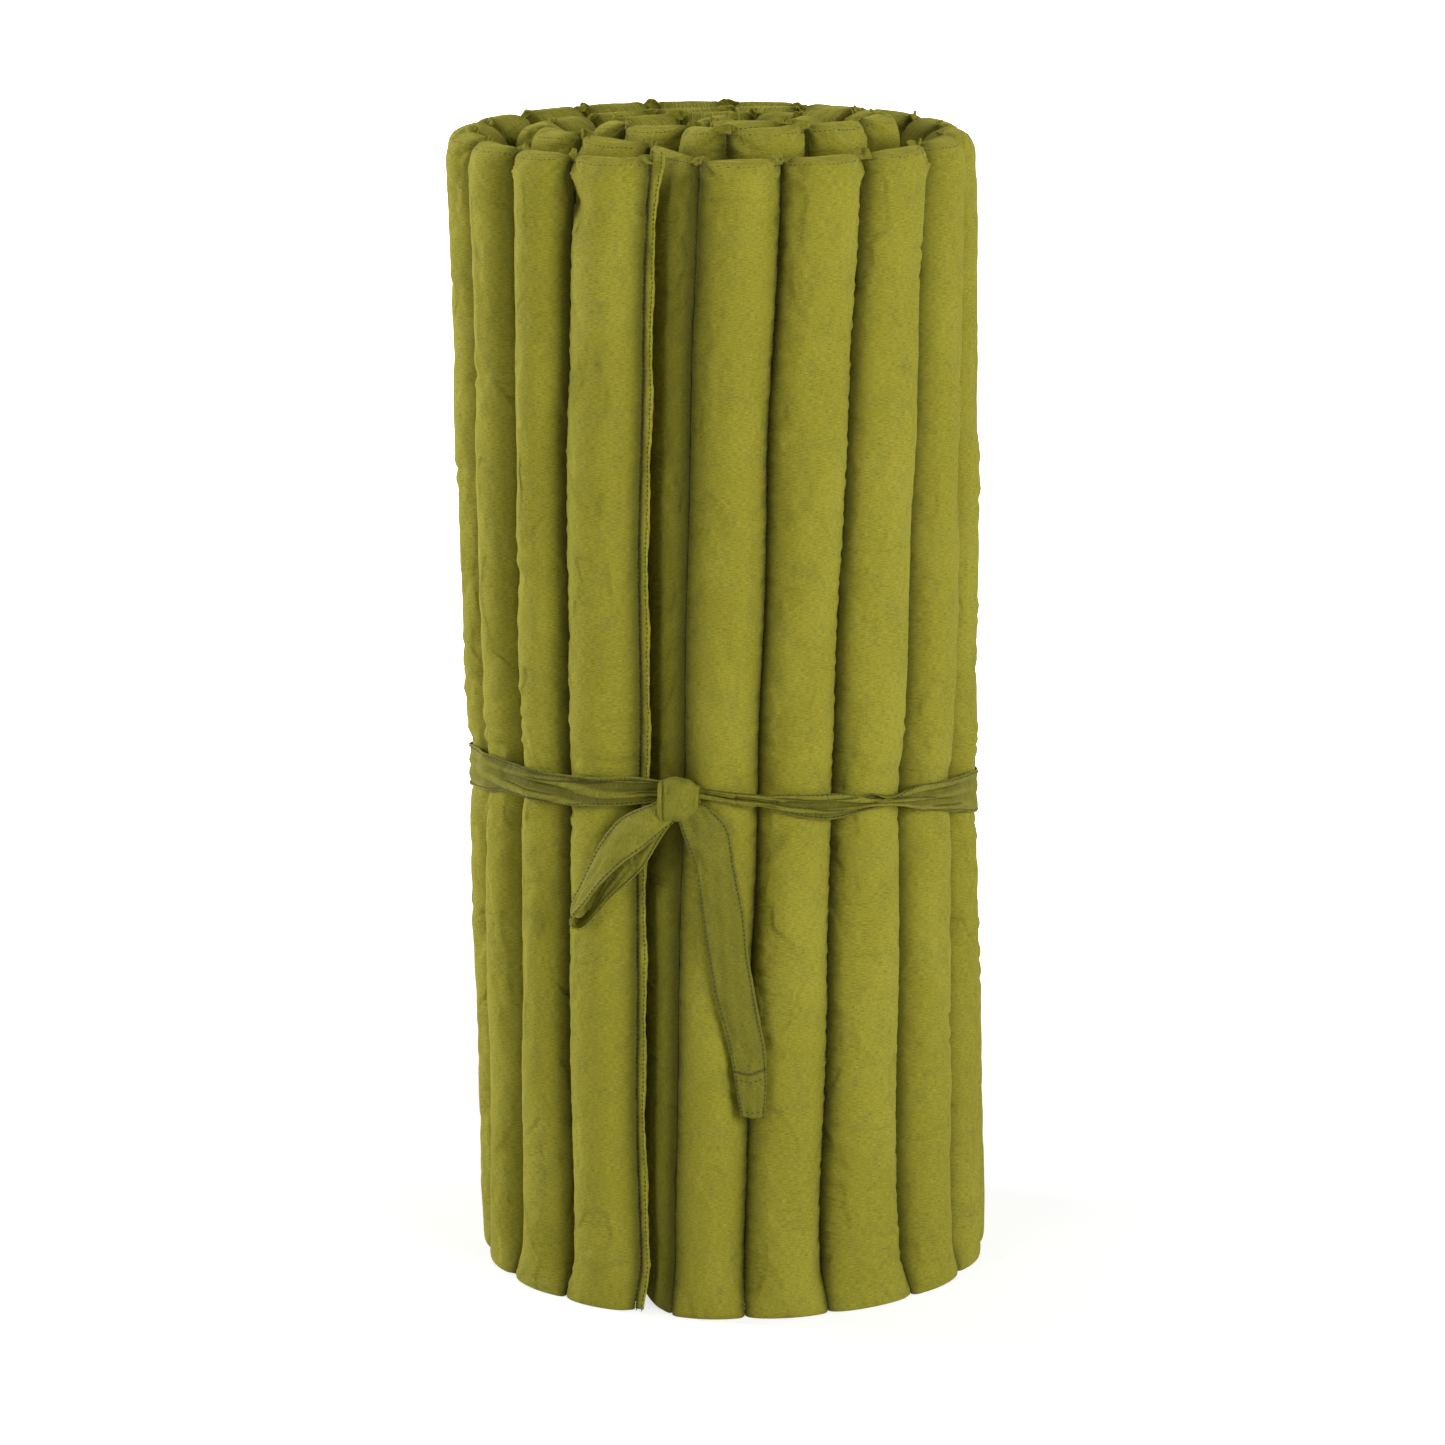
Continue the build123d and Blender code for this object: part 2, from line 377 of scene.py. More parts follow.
def linear(colour: str) -> tuple[float, float, float, float]:
    """Turn an sRGB hex colour to linear RGBA.

    Args:
        colour: Six hex digits after a #.

    Returns:
        The linear colour, with an alpha of 1.
    """
    channels = [int(colour[start : start + 2], 16) / 255 for start in (1, 3, 5)]
    curve = [c / 12.92 if c <= 0.04045 else ((c + 0.055) / 1.055) ** 2.4 for c in channels]
    return (*curve, 1.0)


def add_node(
    tree: bpy.types.NodeTree, kind: str, inputs: dict[Any, Any] | None = None, **settings: Any
) -> bpy.types.Node:
    """Add a node to a tree.

    Args:
        tree: The node tree.
        kind: The node's type name.
        inputs: By socket name or number, a value or the output socket that feeds it.
        settings: The node's own properties.

    Returns:
        The new node.
    """
    node = tree.nodes.new(kind)
    for name, value in settings.items():
        setattr(node, name, value)
    for socket, value in (inputs or {}).items():
        if isinstance(value, bpy.types.NodeSocket):
            tree.links.new(value, node.inputs[socket])
        else:
            node.inputs[socket].default_value = value
    return node


@dataclass(frozen=True)
class WovenCotton:
    """Plain-woven cotton, piece dyed, unbleached slubby yarn.

    The yarns are uneven, so the cloth shows fine streaks across and along it, and the dye takes
    a little differently from place to place. It is matt, with a faint fuzz. Its seam colour is a
    painted shade, laid where a piece's seam attribute is high: in seam valleys, folds and creases.
    """

    name: str
    ground: str  # the dye's usual colour
    light: str  # where a yarn is thin
    deep: str  # where a yarn is thick; also the painted shade in the head's gather grooves
    grey: str  # the cooler blotches in the dye
    seam: str  # painted shade, laid in seam valleys, folds and creases where the seam attribute is high
    weft_mm: float = 0.45  # real yarns are 0.4 mm apart, drawn wider to show
    warp_mm: float = 0.5
    slub_mm: float = 3.6  # how long a thick place in a yarn is
    blotch_mm: float = 13.0
    yarn_mm: float = 0.16  # how far the yarns stand out
    gather_mm: float = 0.6
    crease_mm: float = 2.6
    crease_size: tuple[float, float] = (48.0, 7.0)
    patch_size: tuple[float, float] = (45.0, 60.0)
    gather_size: tuple[float, float] = (2.4, 30.0)
    creased_from: float = 0.45
    fuzz: float = 0.4

    def streaks(
        self, tree: bpy.types.NodeTree, cloth: bpy.types.NodeSocket, across: float, along: float
    ) -> bpy.types.NodeSocket:
        """Add a noise that is drawn out along one yarn direction.

        Args:
            tree: The material's tree.
            cloth: The coordinates on the cloth.
            across: The noise's size across the channel, in millimetres.
            along: Its size along the channel, in millimetres.

        Returns:
            The noise's strength socket.
        """
        scale = (1 / (across * MM), 1 / (along * MM), 1.0)
        place = add_node(tree, "ShaderNodeMapping", {"Vector": cloth, "Scale": scale})
        noise = add_node(
            tree,
            "ShaderNodeTexNoise",
            {"Vector": place.outputs[0], "Scale": 1.0, "Detail": 2.0, "Roughness": 0.6},
            noise_dimensions="2D",
        )
        return noise.outputs["Fac"]

    def shade(
        self,
        tree: bpy.types.NodeTree,
        under: Any,
        over: str,
        strength: bpy.types.NodeSocket,
        span: tuple[float, float, float],
    ) -> bpy.types.NodeSocket:
        """Mix a colour over another where a pattern is strong.

        Args:
            tree: The material's tree.
            under: The colour or socket below.
            over: The colour laid on, as hex.
            strength: The pattern.
            span: The pattern's values where the colour starts and is full, and its full share.

        Returns:
            The mixed colour's socket.
        """
        low, high, most = span
        share = add_node(
            tree,
            "ShaderNodeMapRange",
            {"Value": strength, "From Min": low, "From Max": high, "To Max": most},
            interpolation_type="SMOOTHSTEP",
        )
        mix = add_node(
            tree,
            "ShaderNodeMix",
            {0: share.outputs[0], 6: under, 7: linear(over)},
            data_type="RGBA",
        )
        return mix.outputs[2]

    def ridges(
        self,
        tree: bpy.types.NodeTree,
        cloth: bpy.types.NodeSocket,
        size: tuple[float, float],
        where: bpy.types.NodeSocket,
        width: float,
    ) -> bpy.types.NodeSocket:
        """Add a pattern of fine folds in the cloth's surface.

        Args:
            tree: The material's tree.
            cloth: The coordinates on the cloth.
            size: The folds' size across and along the channel, in millimetres.
            where: How strong they are in each place.
            width: How much of the pattern is a fold, from 0 to 0.5.

        Returns:
            The folds' socket, 1 in a fold's middle.
        """
        place = add_node(
            tree,
            "ShaderNodeMapping",
            {"Vector": cloth, "Scale": (1 / (size[0] * MM), 1 / (size[1] * MM), 1.0)},
        )
        noise = add_node(
            tree,
            "ShaderNodeTexNoise",
            {"Vector": place.outputs[0], "Scale": 1.0, "Detail": 0.0},
            noise_dimensions="2D",
        )
        off = add_node(tree, "ShaderNodeMath", {0: noise.outputs["Fac"], 1: 0.5}, operation="SUBTRACT")
        apart = add_node(tree, "ShaderNodeMath", {0: off.outputs[0]}, operation="ABSOLUTE")
        crest = add_node(
            tree,
            "ShaderNodeMapRange",
            {"Value": apart.outputs[0], "From Max": width, "To Min": 1.0, "To Max": 0.0},
            interpolation_type="SMOOTHSTEP",
        )
        masked = add_node(
            tree, "ShaderNodeMath", {0: crest.outputs[0], 1: where}, operation="MULTIPLY"
        )
        return masked.outputs[0]

    def span(
        self, tree: bpy.types.NodeTree, value: bpy.types.NodeSocket, low: float, high: float
    ) -> bpy.types.NodeSocket:
        """Stretch a pattern's values between two bounds to the span from 0 to 1."""
        share = add_node(
            tree,
            "ShaderNodeMapRange",
            {"Value": value, "From Min": low, "From Max": high},
            interpolation_type="SMOOTHSTEP",
        )
        return share.outputs[0]

    def relief(
        self, tree: bpy.types.NodeTree, layers: Sequence[tuple[bpy.types.NodeSocket, float]]
    ) -> bpy.types.NodeSocket:
        """Bend the surface by some patterns.

        Args:
            tree: The material's tree.
            layers: Each pattern, and how high it stands in millimetres.

        Returns:
            The bent normal's socket.
        """
        total: Any = 0.0
        for pattern, height in layers:
            added = add_node(
                tree, "ShaderNodeMath", {0: pattern, 1: height * MM, 2: total}, operation="MULTIPLY_ADD"
            )
            total = added.outputs[0]
        bump = add_node(tree, "ShaderNodeBump", {"Height": total, "Strength": 1.0, "Distance": 1.0})
        return bump.outputs[0]

    def material(self) -> bpy.types.Material:
        """Build the cloth's material."""
        material = bpy.data.materials.new(self.name)
        material.use_nodes = True
        tree = material.node_tree
        shader = tree.nodes["Principled BSDF"]
        cloth = add_node(tree, "ShaderNodeUVMap", uv_map="cloth").outputs[0]
        weft = self.streaks(tree, cloth, self.slub_mm, self.weft_mm)
        warp = self.streaks(tree, cloth, self.warp_mm, 1.6 * self.slub_mm)
        blotch = self.streaks(tree, cloth, self.blotch_mm, 1.5 * self.blotch_mm)
        broad = self.streaks(tree, cloth, 6 * self.blotch_mm, 9 * self.blotch_mm)
        colour = self.shade(tree, linear(self.ground), self.light, broad, (0.4, 0.75, 0.35))
        colour = self.shade(tree, colour, self.grey, blotch, (0.48, 0.76, 0.32))
        colour = self.shade(tree, colour, self.deep, weft, (0.5, 0.74, 0.7))
        colour = self.shade(tree, colour, self.light, weft, (0.49, 0.24, 0.65))
        colour = self.shade(tree, colour, self.deep, warp, (0.52, 0.8, 0.35))
        colour = self.shade(tree, colour, self.light, warp, (0.46, 0.2, 0.3))
        seam = add_node(tree, "ShaderNodeAttribute", attribute_name="seam").outputs["Fac"]
        gathered = add_node(tree, "ShaderNodeAttribute", attribute_name="gather").outputs["Fac"]
        patches = self.streaks(tree, cloth, *self.patch_size)
        creased = self.span(tree, patches, self.creased_from, self.creased_from + 0.12)
        gathers = self.ridges(tree, cloth, self.gather_size, gathered, 0.16)
        folds = self.streaks(tree, cloth, *self.crease_size)
        masked = add_node(tree, "ShaderNodeMath", {0: folds, 1: creased}, operation="MULTIPLY")
        creases = masked.outputs[0]
        # Painted shade: the seam colour darkens the cloth where the seam attribute is high, in the
        # casings' seam valleys, the tie's folds and the knot's creases.
        colour = self.shade(tree, colour, self.seam, seam, (0.05, 1.0, 0.75))
        # Painted shade: the deep colour darkens the middle of each gather fold, the groove that the
        # bump presses in.
        colour = self.shade(tree, colour, self.deep, gathers, (0.0, 1.0, 0.55))
        tree.links.new(colour, shader.inputs["Base Color"])
        layers = [
            (weft, self.yarn_mm),
            (warp, self.yarn_mm),
            (gathers, -self.gather_mm),
            (creases, -self.crease_mm),
        ]
        tree.links.new(self.relief(tree, layers), shader.inputs["Normal"])
        shader.inputs["Roughness"].default_value = 0.9
        shader.inputs["IOR"].default_value = 1.5
        shader.inputs["Specular IOR Level"].default_value = 0.25
        shader.inputs["Sheen Weight"].default_value = self.fuzz
        shader.inputs["Sheen Roughness"].default_value = 0.3
        shader.inputs["Sheen Tint"].default_value = linear(self.light)
        return material


@dataclass(frozen=True)
class SewingThread:
    """Spun polyester sewing thread, dark green, with a slight lustre along its twist."""

    name: str
    colour: str
    dark: str

    def material(self) -> bpy.types.Material:
        """Build the thread's material."""
        material = bpy.data.materials.new(self.name)
        material.use_nodes = True
        tree = material.node_tree
        shader = tree.nodes["Principled BSDF"]
        place = add_node(tree, "ShaderNodeTexCoord").outputs["Object"]
        noise = add_node(tree, "ShaderNodeTexNoise", {"Vector": place, "Scale": 1 / (0.8 * MM)})
        mix = add_node(
            tree,
            "ShaderNodeMix",
            {0: noise.outputs["Fac"], 6: linear(self.dark), 7: linear(self.colour)},
            data_type="RGBA",
        )
        tree.links.new(mix.outputs[2], shader.inputs["Base Color"])
        shader.inputs["Roughness"].default_value = 0.6
        return material


CASING_COTTON = WovenCotton("casing_cotton", "#989229", "#b3ad40", "#6c6914", "#7a7d36", "#3f3d08")
TIE_COTTON = WovenCotton(
    "tie_cotton", "#868226", "#a09b39", "#5c5a12", "#6d722e", "#2f2e08", slub_mm=3.0, blotch_mm=9.0
)
SEAM_THREAD = SewingThread("seam_thread", "#35340e", "#191a06")


# --- Sewing ------------------------------------------------------------------------------------


@dataclass
class Stitching:
    """Rows of stitches, each stitch a short dash of thread on the cloth."""

    thread: bpy.types.Material
    pitch: float = 3.1 * MM
    length: float = 2.2 * MM
    thickness: float = 0.7 * MM
    unevenness: float = 0.18 * MM
    tree: bpy.types.GeometryNodeTree = field(init=False)

    def __post_init__(self) -> None:
        """Build the node tree that lays stitches along paths."""
        self.tree = bpy.data.node_groups.new("stitching", "GeometryNodeTree")
        tree, interface = self.tree, self.tree.interface
        interface.new_socket("Paths", in_out="INPUT", socket_type="NodeSocketGeometry")
        for name in ("Pitch", "Length", "Thickness", "Unevenness"):
            interface.new_socket(name, in_out="INPUT", socket_type="NodeSocketFloat")
        interface.new_socket("Seed", in_out="INPUT", socket_type="NodeSocketInt")
        interface.new_socket("Thread", in_out="INPUT", socket_type="NodeSocketMaterial")
        interface.new_socket("Stitches", in_out="OUTPUT", socket_type="NodeSocketGeometry")
        given = add_node(tree, "NodeGroupInput").outputs
        curve = add_node(tree, "GeometryNodeMeshToCurve", {"Mesh": given["Paths"]})
        points = add_node(
            tree,
            "GeometryNodeCurveToPoints",
            {"Curve": curve.outputs[0], "Length": given["Pitch"]},
            mode="LENGTH",
        )
        turn = add_node(
            tree,
            "FunctionNodeAlignRotationToVector",
            {"Vector": points.outputs["Tangent"]},
            axis="X",
        )
        low = add_node(
            tree, "ShaderNodeMath", {0: given["Unevenness"], 1: -1.0}, operation="MULTIPLY"
        )
        corners = [
            add_node(tree, "ShaderNodeCombineXYZ", {"X": size, "Y": size, "Z": size})
            for size in (low.outputs[0], given["Unevenness"])
        ]
        shift = add_node(
            tree,
            "FunctionNodeRandomValue",
            {0: corners[0].outputs[0], 1: corners[1].outputs[0], "Seed": given["Seed"]},
            data_type="FLOAT_VECTOR",
        )
        moved = add_node(
            tree,
            "GeometryNodeSetPosition",
            {"Geometry": points.outputs["Points"], "Offset": shift.outputs[0]},
        )
        half = [
            add_node(tree, "ShaderNodeMath", {0: given[name], 1: 0.5}, operation="MULTIPLY").outputs[0]
            for name in ("Length", "Thickness")
        ]
        size = add_node(tree, "ShaderNodeCombineXYZ", {"X": half[0], "Y": half[1], "Z": half[1]})
        dash = add_node(tree, "GeometryNodeMeshIcoSphere", {"Radius": 1.0, "Subdivisions": 1})
        placed = add_node(
            tree,
            "GeometryNodeInstanceOnPoints",
            {
                "Points": moved.outputs[0],
                "Instance": dash.outputs[0],
                "Rotation": turn.outputs[0],
                "Scale": size.outputs[0],
            },
        )
        real = add_node(tree, "GeometryNodeRealizeInstances", {0: placed.outputs[0]})
        sewn = add_node(
            tree, "GeometryNodeSetMaterial", {"Geometry": real.outputs[0], "Material": given["Thread"]}
        )
        add_node(tree, "NodeGroupOutput", {"Stitches": sewn.outputs[0]})

    def lay(self, name: str, rows: Sequence[Array], seed: int, slot: Slot) -> bpy.types.Object:
        """Lay stitches along some paths.

        Args:
            name: The name for the stitches.
            rows: Each path's points.
            seed: Varies how uneven they are.
            slot: The record's material slot.

        Returns:
            The stitches as a plain mesh.
        """
        starts = np.cumsum([0] + [len(row) for row in rows])
        edges = [(at, at + 1) for a, b in zip(starts, starts[1:]) for at in range(a, b - 1)]
        mesh = bpy.data.meshes.new(name)
        mesh.from_pydata(np.vstack(rows).tolist(), edges, [])
        piece = bpy.data.objects.new(name, mesh)
        bpy.context.scene.collection.objects.link(piece)
        modifier = piece.modifiers.new("stitching", "NODES")
        modifier.node_group = self.tree
        values = {
            "Pitch": self.pitch,
            "Length": self.length,
            "Thickness": self.thickness,
            "Unevenness": self.unevenness,
            "Seed": seed,
            "Thread": self.thread,
        }
        for socket in self.tree.interface.items_tree:
            if socket.name in values:
                modifier[socket.identifier] = values[socket.name]
        settled(piece)
        piece.data.shade_smooth()
        return dressed(piece, self.thread, slot)


# --- The roll ----------------------------------------------------------------------------------


@dataclass
class Roll:
    """Where the mat's seams stand, and how the roll has settled.

    The CAD roll is a true upright spiral. The real one leans a little, is turned about itself
    between its foot and its head, spreads at its foot, and is pulled in where the tie goes
    round it.
    """

    joints: Sequence[dict]
    height: float
    outer_count: int = 18
    twist: float = math.radians(9.0)
    lean: float = -0.022
    foot_scale: float = 0.98
    foot_spread: float = 3 * MM  # how far the foot's outer turn has spread at its corners
    foot_corner: float = 12 * MM  # how far out the outer seams stand at the foot
    foot_corner_reach: float = 30 * MM
    foot_reach: float = 90 * MM  # how far up the foot's spread reaches
    outer_from: float = 0.11  # the radius at which the outer turn begins
    outer_fade: float = 0.03
    bulge: float = 22.5 * MM  # how far a channel stands out from its seams, as Pouch.outer
    waist: float = 2.8 * MM
    waist_reach: float = 60 * MM
    # how far some seams are turned beyond the twist: seam, and degrees at head, middle and foot
    slips: tuple[tuple[float, float, float, float], ...] = (
        (0, 0.0, -2.3, -1.2),
        (1, 0.0, -2.1, 0.0),
        (2, 2.0, 2.3, 0.2),
        (3, 3.5, 3.0, 1.0),
        (14, 4.0, -0.8, -2.3),
        (15, 4.0, -2.6, -3.2),
        (16, 1.2, -4.2, -6.2),
        (17, -0.4, -4.2, -6.4),
        (18, -0.5, -2.9, -4.2),
        (19, 0.0, -2.5, -4.0),
        (22, 0.0, -1.0, -2.0),
        (39, 0.0, 0.0, 0.0),
    )
    wander: float = 0.7 * MM
    tie_height: float = 0.325
    tie_rise: float = 28 * MM
    tie_slant: float = 8.5 * MM
    sag: float = 5 * MM  # how far the tie sags on both sides of the knot
    sag_from: float = -9.0  # the azimuth between the two sags
    sag_at: float = 30.0  # degrees from there to where each is deepest
    sag_reach: float = 16.0
    rise_mm: float = 7.0  # how much higher the inner turns' heads stand
    rise_azimuth: float = 25.0  # where they stand highest
    rise_radius: float = 0.107
    seams: Array = field(init=False)
    headings: Array = field(init=False)
    widths: Array = field(init=False)
    folds: Array = field(init=False)

    def __post_init__(self) -> None:
        """Find the seams from the joints, and the mat's two free ends from its pitch."""
        hinges = [joint for joint in self.joints if joint["name"].startswith("seam_")]
        inside = np.array([hinge["pos_m"][:2] for hinge in hinges])
        radius = np.linalg.norm(inside[0])
        pitch = np.linalg.norm(inside[1] - inside[0])
        step = 2 * math.degrees(math.asin(pitch / 2 / radius))
        first = around(azimuth_of(inside[:1])[0] + step, radius, 0.0)[:2]
        run = inside[-1] - inside[-2]
        turn = math.atan2(run[1], run[0]) - math.radians(hinges[-1]["range_deg"][1])
        last = inside[-1] + pitch * np.array([math.cos(turn), math.sin(turn)])
        self.seams = np.vstack([first, inside, last])
        runs = np.diff(self.seams, axis=0)
        self.widths = np.linalg.norm(runs, axis=1)
        self.headings = np.degrees(np.arctan2(runs[:, 1], runs[:, 0]))
        self.folds = (self.headings[:-1] - self.headings[1:] + 180) % 360 - 180

    def tie_level(self, azimuth: Array | float) -> Array:
        """The height of the tie's middle at an azimuth in degrees."""
        turn = np.radians(azimuth)
        from_knot = np.abs((np.asarray(azimuth) - self.sag_from + 180) % 360 - 180)
        sag = self.sag * hump(from_knot - self.sag_at, self.sag_reach)
        return self.tie_height + self.tie_rise * np.cos(turn) - self.tie_slant * np.sin(turn) - sag

    def settle(self, points: Array) -> Array:
        """Move points of the upright spiral to where they are in the settled roll.

        Args:
            points: Points in the CAD frame, one in each row.

        Returns:
            The moved points.
        """
        x, y, z = points.T
        share = z / self.height
        radius = np.maximum(np.hypot(x, y), MM)
        azimuth = azimuth_of(points)
        outer = smooth((radius - self.outer_from) / self.outer_fade)
        pull = self.waist * outer * hump(z - self.tie_level(azimuth), self.waist_reach)
        squared = np.sin(2 * np.radians(azimuth)) ** 2
        pull -= self.foot_spread * outer * squared * (1 - smooth(z / self.foot_reach))
        scale = self.foot_scale + (1 - self.foot_scale) * share - pull / radius
        turn = self.twist * (share - 0.5)
        cos, sin = np.cos(turn), np.sin(turn)
        lean = self.lean * (z - self.height / 2)
        return np.stack([scale * (x * cos - y * sin) + lean, scale * (x * sin + y * cos), z], 1)

    def lift(self, seam: int) -> float:
        """How much higher than the outer turn's a seam's head stands."""
        if seam <= self.outer_count:
            return 0.0
        x, y = self.seams[seam]
        azimuth = float(azimuth_of(self.seams[seam]))
        towards = math.cos(math.radians(azimuth - self.rise_azimuth))
        away = min(1.0, (seam - self.outer_count) / 3)
        tilt = self.rise_mm * towards * np.hypot(x, y) / self.rise_radius
        return away * (self.rise_mm + tilt) * MM

    def slip(self, seam: int, height: Array) -> Array:
        """How far a seam is turned beyond the roll's twist, in degrees, at each height."""
        numbers, *turns = zip(*self.slips)
        head, middle, foot = (np.interp(seam, numbers, turn) for turn in turns)
        share = height / self.height
        rise = share * (2 * share - 1)
        return head * rise + foot * (rise - 2 * share + 1) + middle * 4 * share * (1 - share)

    def seam_line(self, seam: int, height: Array) -> Array:
        """A seam's settled line.

        Args:
            seam: The seam's number, 0 at the mat's free end.
            height: Heights in the CAD frame.

        Returns:
            A point for each height.
        """
        x, y = self.seams[seam]
        turned = azimuth_of(self.seams[seam]) + self.slip(seam, height)
        line = self.settle(around(turned, math.hypot(x, y), height))
        rng = np.random.default_rng(100 + seam)
        heading = math.radians(self.headings[min(seam, len(self.headings) - 1)])
        shift = np.zeros(len(height))
        for length in (0.43, 0.19):
            phase = rng.uniform(0, 2 * math.pi)
            shift += self.wander * np.sin(2 * math.pi * height / length + phase)
        line[:, 0] += shift * math.cos(heading)
        line[:, 1] += shift * math.sin(heading)
        line[:, 2] += self.lift(seam) * np.clip(height / self.height, 0, 1.02)
        if seam <= self.outer_count:
            outwards = line[:, :2] / np.linalg.norm(line[:, :2], axis=1)[:, None]
            line[:, :2] += outwards * (self.foot_corner * self.at_foot(height))[:, None]
        return line

    def at_foot(self, height: Array) -> Array:
        """How much the floor spreads the outer turn at each height, from 0 to 1."""
        return 1 - smooth(height / self.foot_corner_reach)

    def stand(self, channel: int, local: Array) -> Array:
        """Stand a channel's points between its two seams.

        Args:
            channel: The channel's number, from 0.
            local: Points in the channel's own frame, X from seam to seam, Y outwards, Z up.

        Returns:
            The points in the roll.
        """
        x, y, z = local.T
        if channel < self.outer_count:
            y = np.where(y > 0, y * (1 - self.foot_corner / self.bulge * self.at_foot(z)), y)
        start = self.seam_line(channel, z)
        end = self.seam_line(channel + 1, z)
        share = (x / self.widths[channel])[:, None]
        chord = end - start
        out = np.column_stack([-chord[:, 1], chord[:, 0], np.zeros(len(z))])
        out /= np.linalg.norm(out, axis=1)[:, None]
        return start + chord * share + out * y[:, None]


# --- The channels ------------------------------------------------------------------------------


@dataclass
class Pouch:
    """One channel's cloth as it is sewn, before its filling pushes it out.

    It is two panels of cloth, the outer and the inner, joined along both seams and both ends.
    The foot is flat on the floor. The head slopes down towards the roll's middle, and is
    rounded off at its seams.
    """

    width: float
    height: float
    outer: float = 22.5 * MM
    inner: float = 20 * MM
    columns: int = 14
    rows: int = 128
    end_rows: int = 8
    end_reach: float = 45 * MM
    ear_dip: float = 1.5 * MM
    shoulder: float = 3.0 * MM  # how much lower the head is at its seams
    head_round: float = 15 * MM
    head_slope: float = 24 * MM
    foot_outer_round: float = 4.5 * MM
    foot_inner_round: float = 10 * MM
    outer_panel: Array = field(init=False)
    inner_panel: Array = field(init=False)
    points: Array = field(init=False)

    def __post_init__(self) -> None:
        """Lay out the panels."""
        x, front, back = self.section()
        fullness = (front + back) / (front + back).max()
        heads = [self.head(*sizes) for sizes in zip(x, front, back, fullness)]
        feet = [self.foot(*sizes) for sizes in zip(front, back, fullness)]
        wall = np.linspace(self.end_reach, self.height - self.end_reach, self.wall_rows)
        shape = (self.rows + 1, self.columns + 1)
        self.outer_panel = np.zeros(shape, int)
        self.inner_panel = np.zeros(shape, int)
        points: list[tuple[float, float, float]] = []
        for column, place in enumerate(x):
            head_out, head_in = heads[column]
            foot_out, foot_in = feet[column]
            run = [*foot_out[::-1], *((front[column], z) for z in wall), *head_out]
            for row, (y, z) in enumerate(run):
                self.outer_panel[row, column] = len(points)
                points.append((place, y, z))
        for column, place in enumerate(x):
            head_out, head_in = heads[column]
            foot_out, foot_in = feet[column]
            run = [*foot_in, *((-back[column], z) for z in wall), *head_in[::-1]]
            self.inner_panel[:, column] = self.outer_panel[:, column]
            if column in (0, self.columns):
                continue
            for row, (y, z) in enumerate(run, 1):
                self.inner_panel[row, column] = len(points)
                points.append((place, y, z))
        self.points = np.array(points)

    @property
    def wall_rows(self) -> int:
        """How many rows of points the straight part has."""
        return self.rows - 2 * self.end_rows + 1

    def bow(self, x: Array, bulge: float) -> Array:
        """The height of a circular bow with this bulge over the channel's width."""
        half = self.width / 2
        radius = (half**2 + bulge**2) / (2 * bulge)
        return np.maximum(np.sqrt(np.maximum(radius**2 - (x - half) ** 2, 0)) - radius + bulge, 0)

    def section(self) -> tuple[Array, Array, Array]:
        """Divide the channel's cross-section.

        Returns:
            The columns' places across it, and how far out and in the cloth stands there.
        """
        half = self.width / 2
        places = np.zeros(self.columns + 1)
        for bulge in (self.outer, self.inner):
            radius = (half**2 + bulge**2) / (2 * bulge)
            sweep = 2 * math.atan(bulge / half)
            places += half + radius * np.sin(np.linspace(-sweep, sweep, self.columns + 1))
        places /= 2
        front, back = self.bow(places, self.outer), self.bow(places, self.inner)
        front[[0, -1]] = back[[0, -1]] = 0
        return places, front, back

    def head(self, x: float, front: float, back: float, fullness: float) -> tuple[Array, Array]:
        """Shape the upper end at one column.

        Args:
            x: The column's place across the channel.
            front: How far out the cloth stands.
            back: How far in it stands.
            fullness: The depth there, as a share of the greatest.

        Returns:
            The runs from the outer wall up to the end seam, and from the inner wall up to it.
        """
        share = 2 * x / self.width - 1
        drop = self.shoulder * smooth((abs(share) - 0.6) / 0.4) ** 1.5
        top = self.height - self.ear_dip * (1 - abs(share) ** 4) - drop
        round_, slope = self.head_round * fullness, self.head_slope * fullness**0.8
        across = max(front + back - round_, 0)
        quarter = np.linspace(0, math.pi / 2, 9)
        corner = [
            (front - round_ + round_ * math.cos(a), top - round_ + round_ * math.sin(a))
            for a in quarter
        ]
        fall = [
            (front - round_ - across * math.sin(a), top - slope + slope * math.cos(a))
            for a in np.linspace(0, math.pi / 2, 14)[1:]
        ]
        wall = self.height - self.end_reach
        outside = resampled([(front, wall), *corner[:6]], self.end_rows)
        inside = resampled([*corner[5:], *fall, (-back, wall)], self.end_rows)
        return outside, inside[:-1]

    def foot(self, front: float, back: float, fullness: float) -> tuple[Array, Array]:
        """Shape the lower end at one column.

        Args:
            front: How far out the cloth stands.
            back: How far in it stands.
            fullness: The depth there, as a share of the greatest.

        Returns:
            The run from the outer wall down to the end seam, and on from there to the inner wall.
        """
        outer, inner = self.foot_outer_round * fullness, self.foot_inner_round * fullness
        quarter = np.linspace(0, math.pi / 2, 9)
        corner = [
            (front - outer + outer * math.cos(a), outer - outer * math.sin(a)) for a in quarter
        ]
        heel = [
            (-back + inner - inner * math.sin(a), inner - inner * math.cos(a)) for a in quarter
        ]
        share = np.linspace(0, 1, self.end_rows)
        near = np.round(99 * (1 - (1 - share) ** 1.8)).astype(int)
        beyond = np.round(99 * share[:-1] ** 1.5).astype(int)
        outside = resampled([(front, self.end_reach), *corner[:6]], 100)[near]
        inside = resampled([*corner[5:], *heel, (-back, self.end_reach)], 100)[beyond]
        return outside, inside

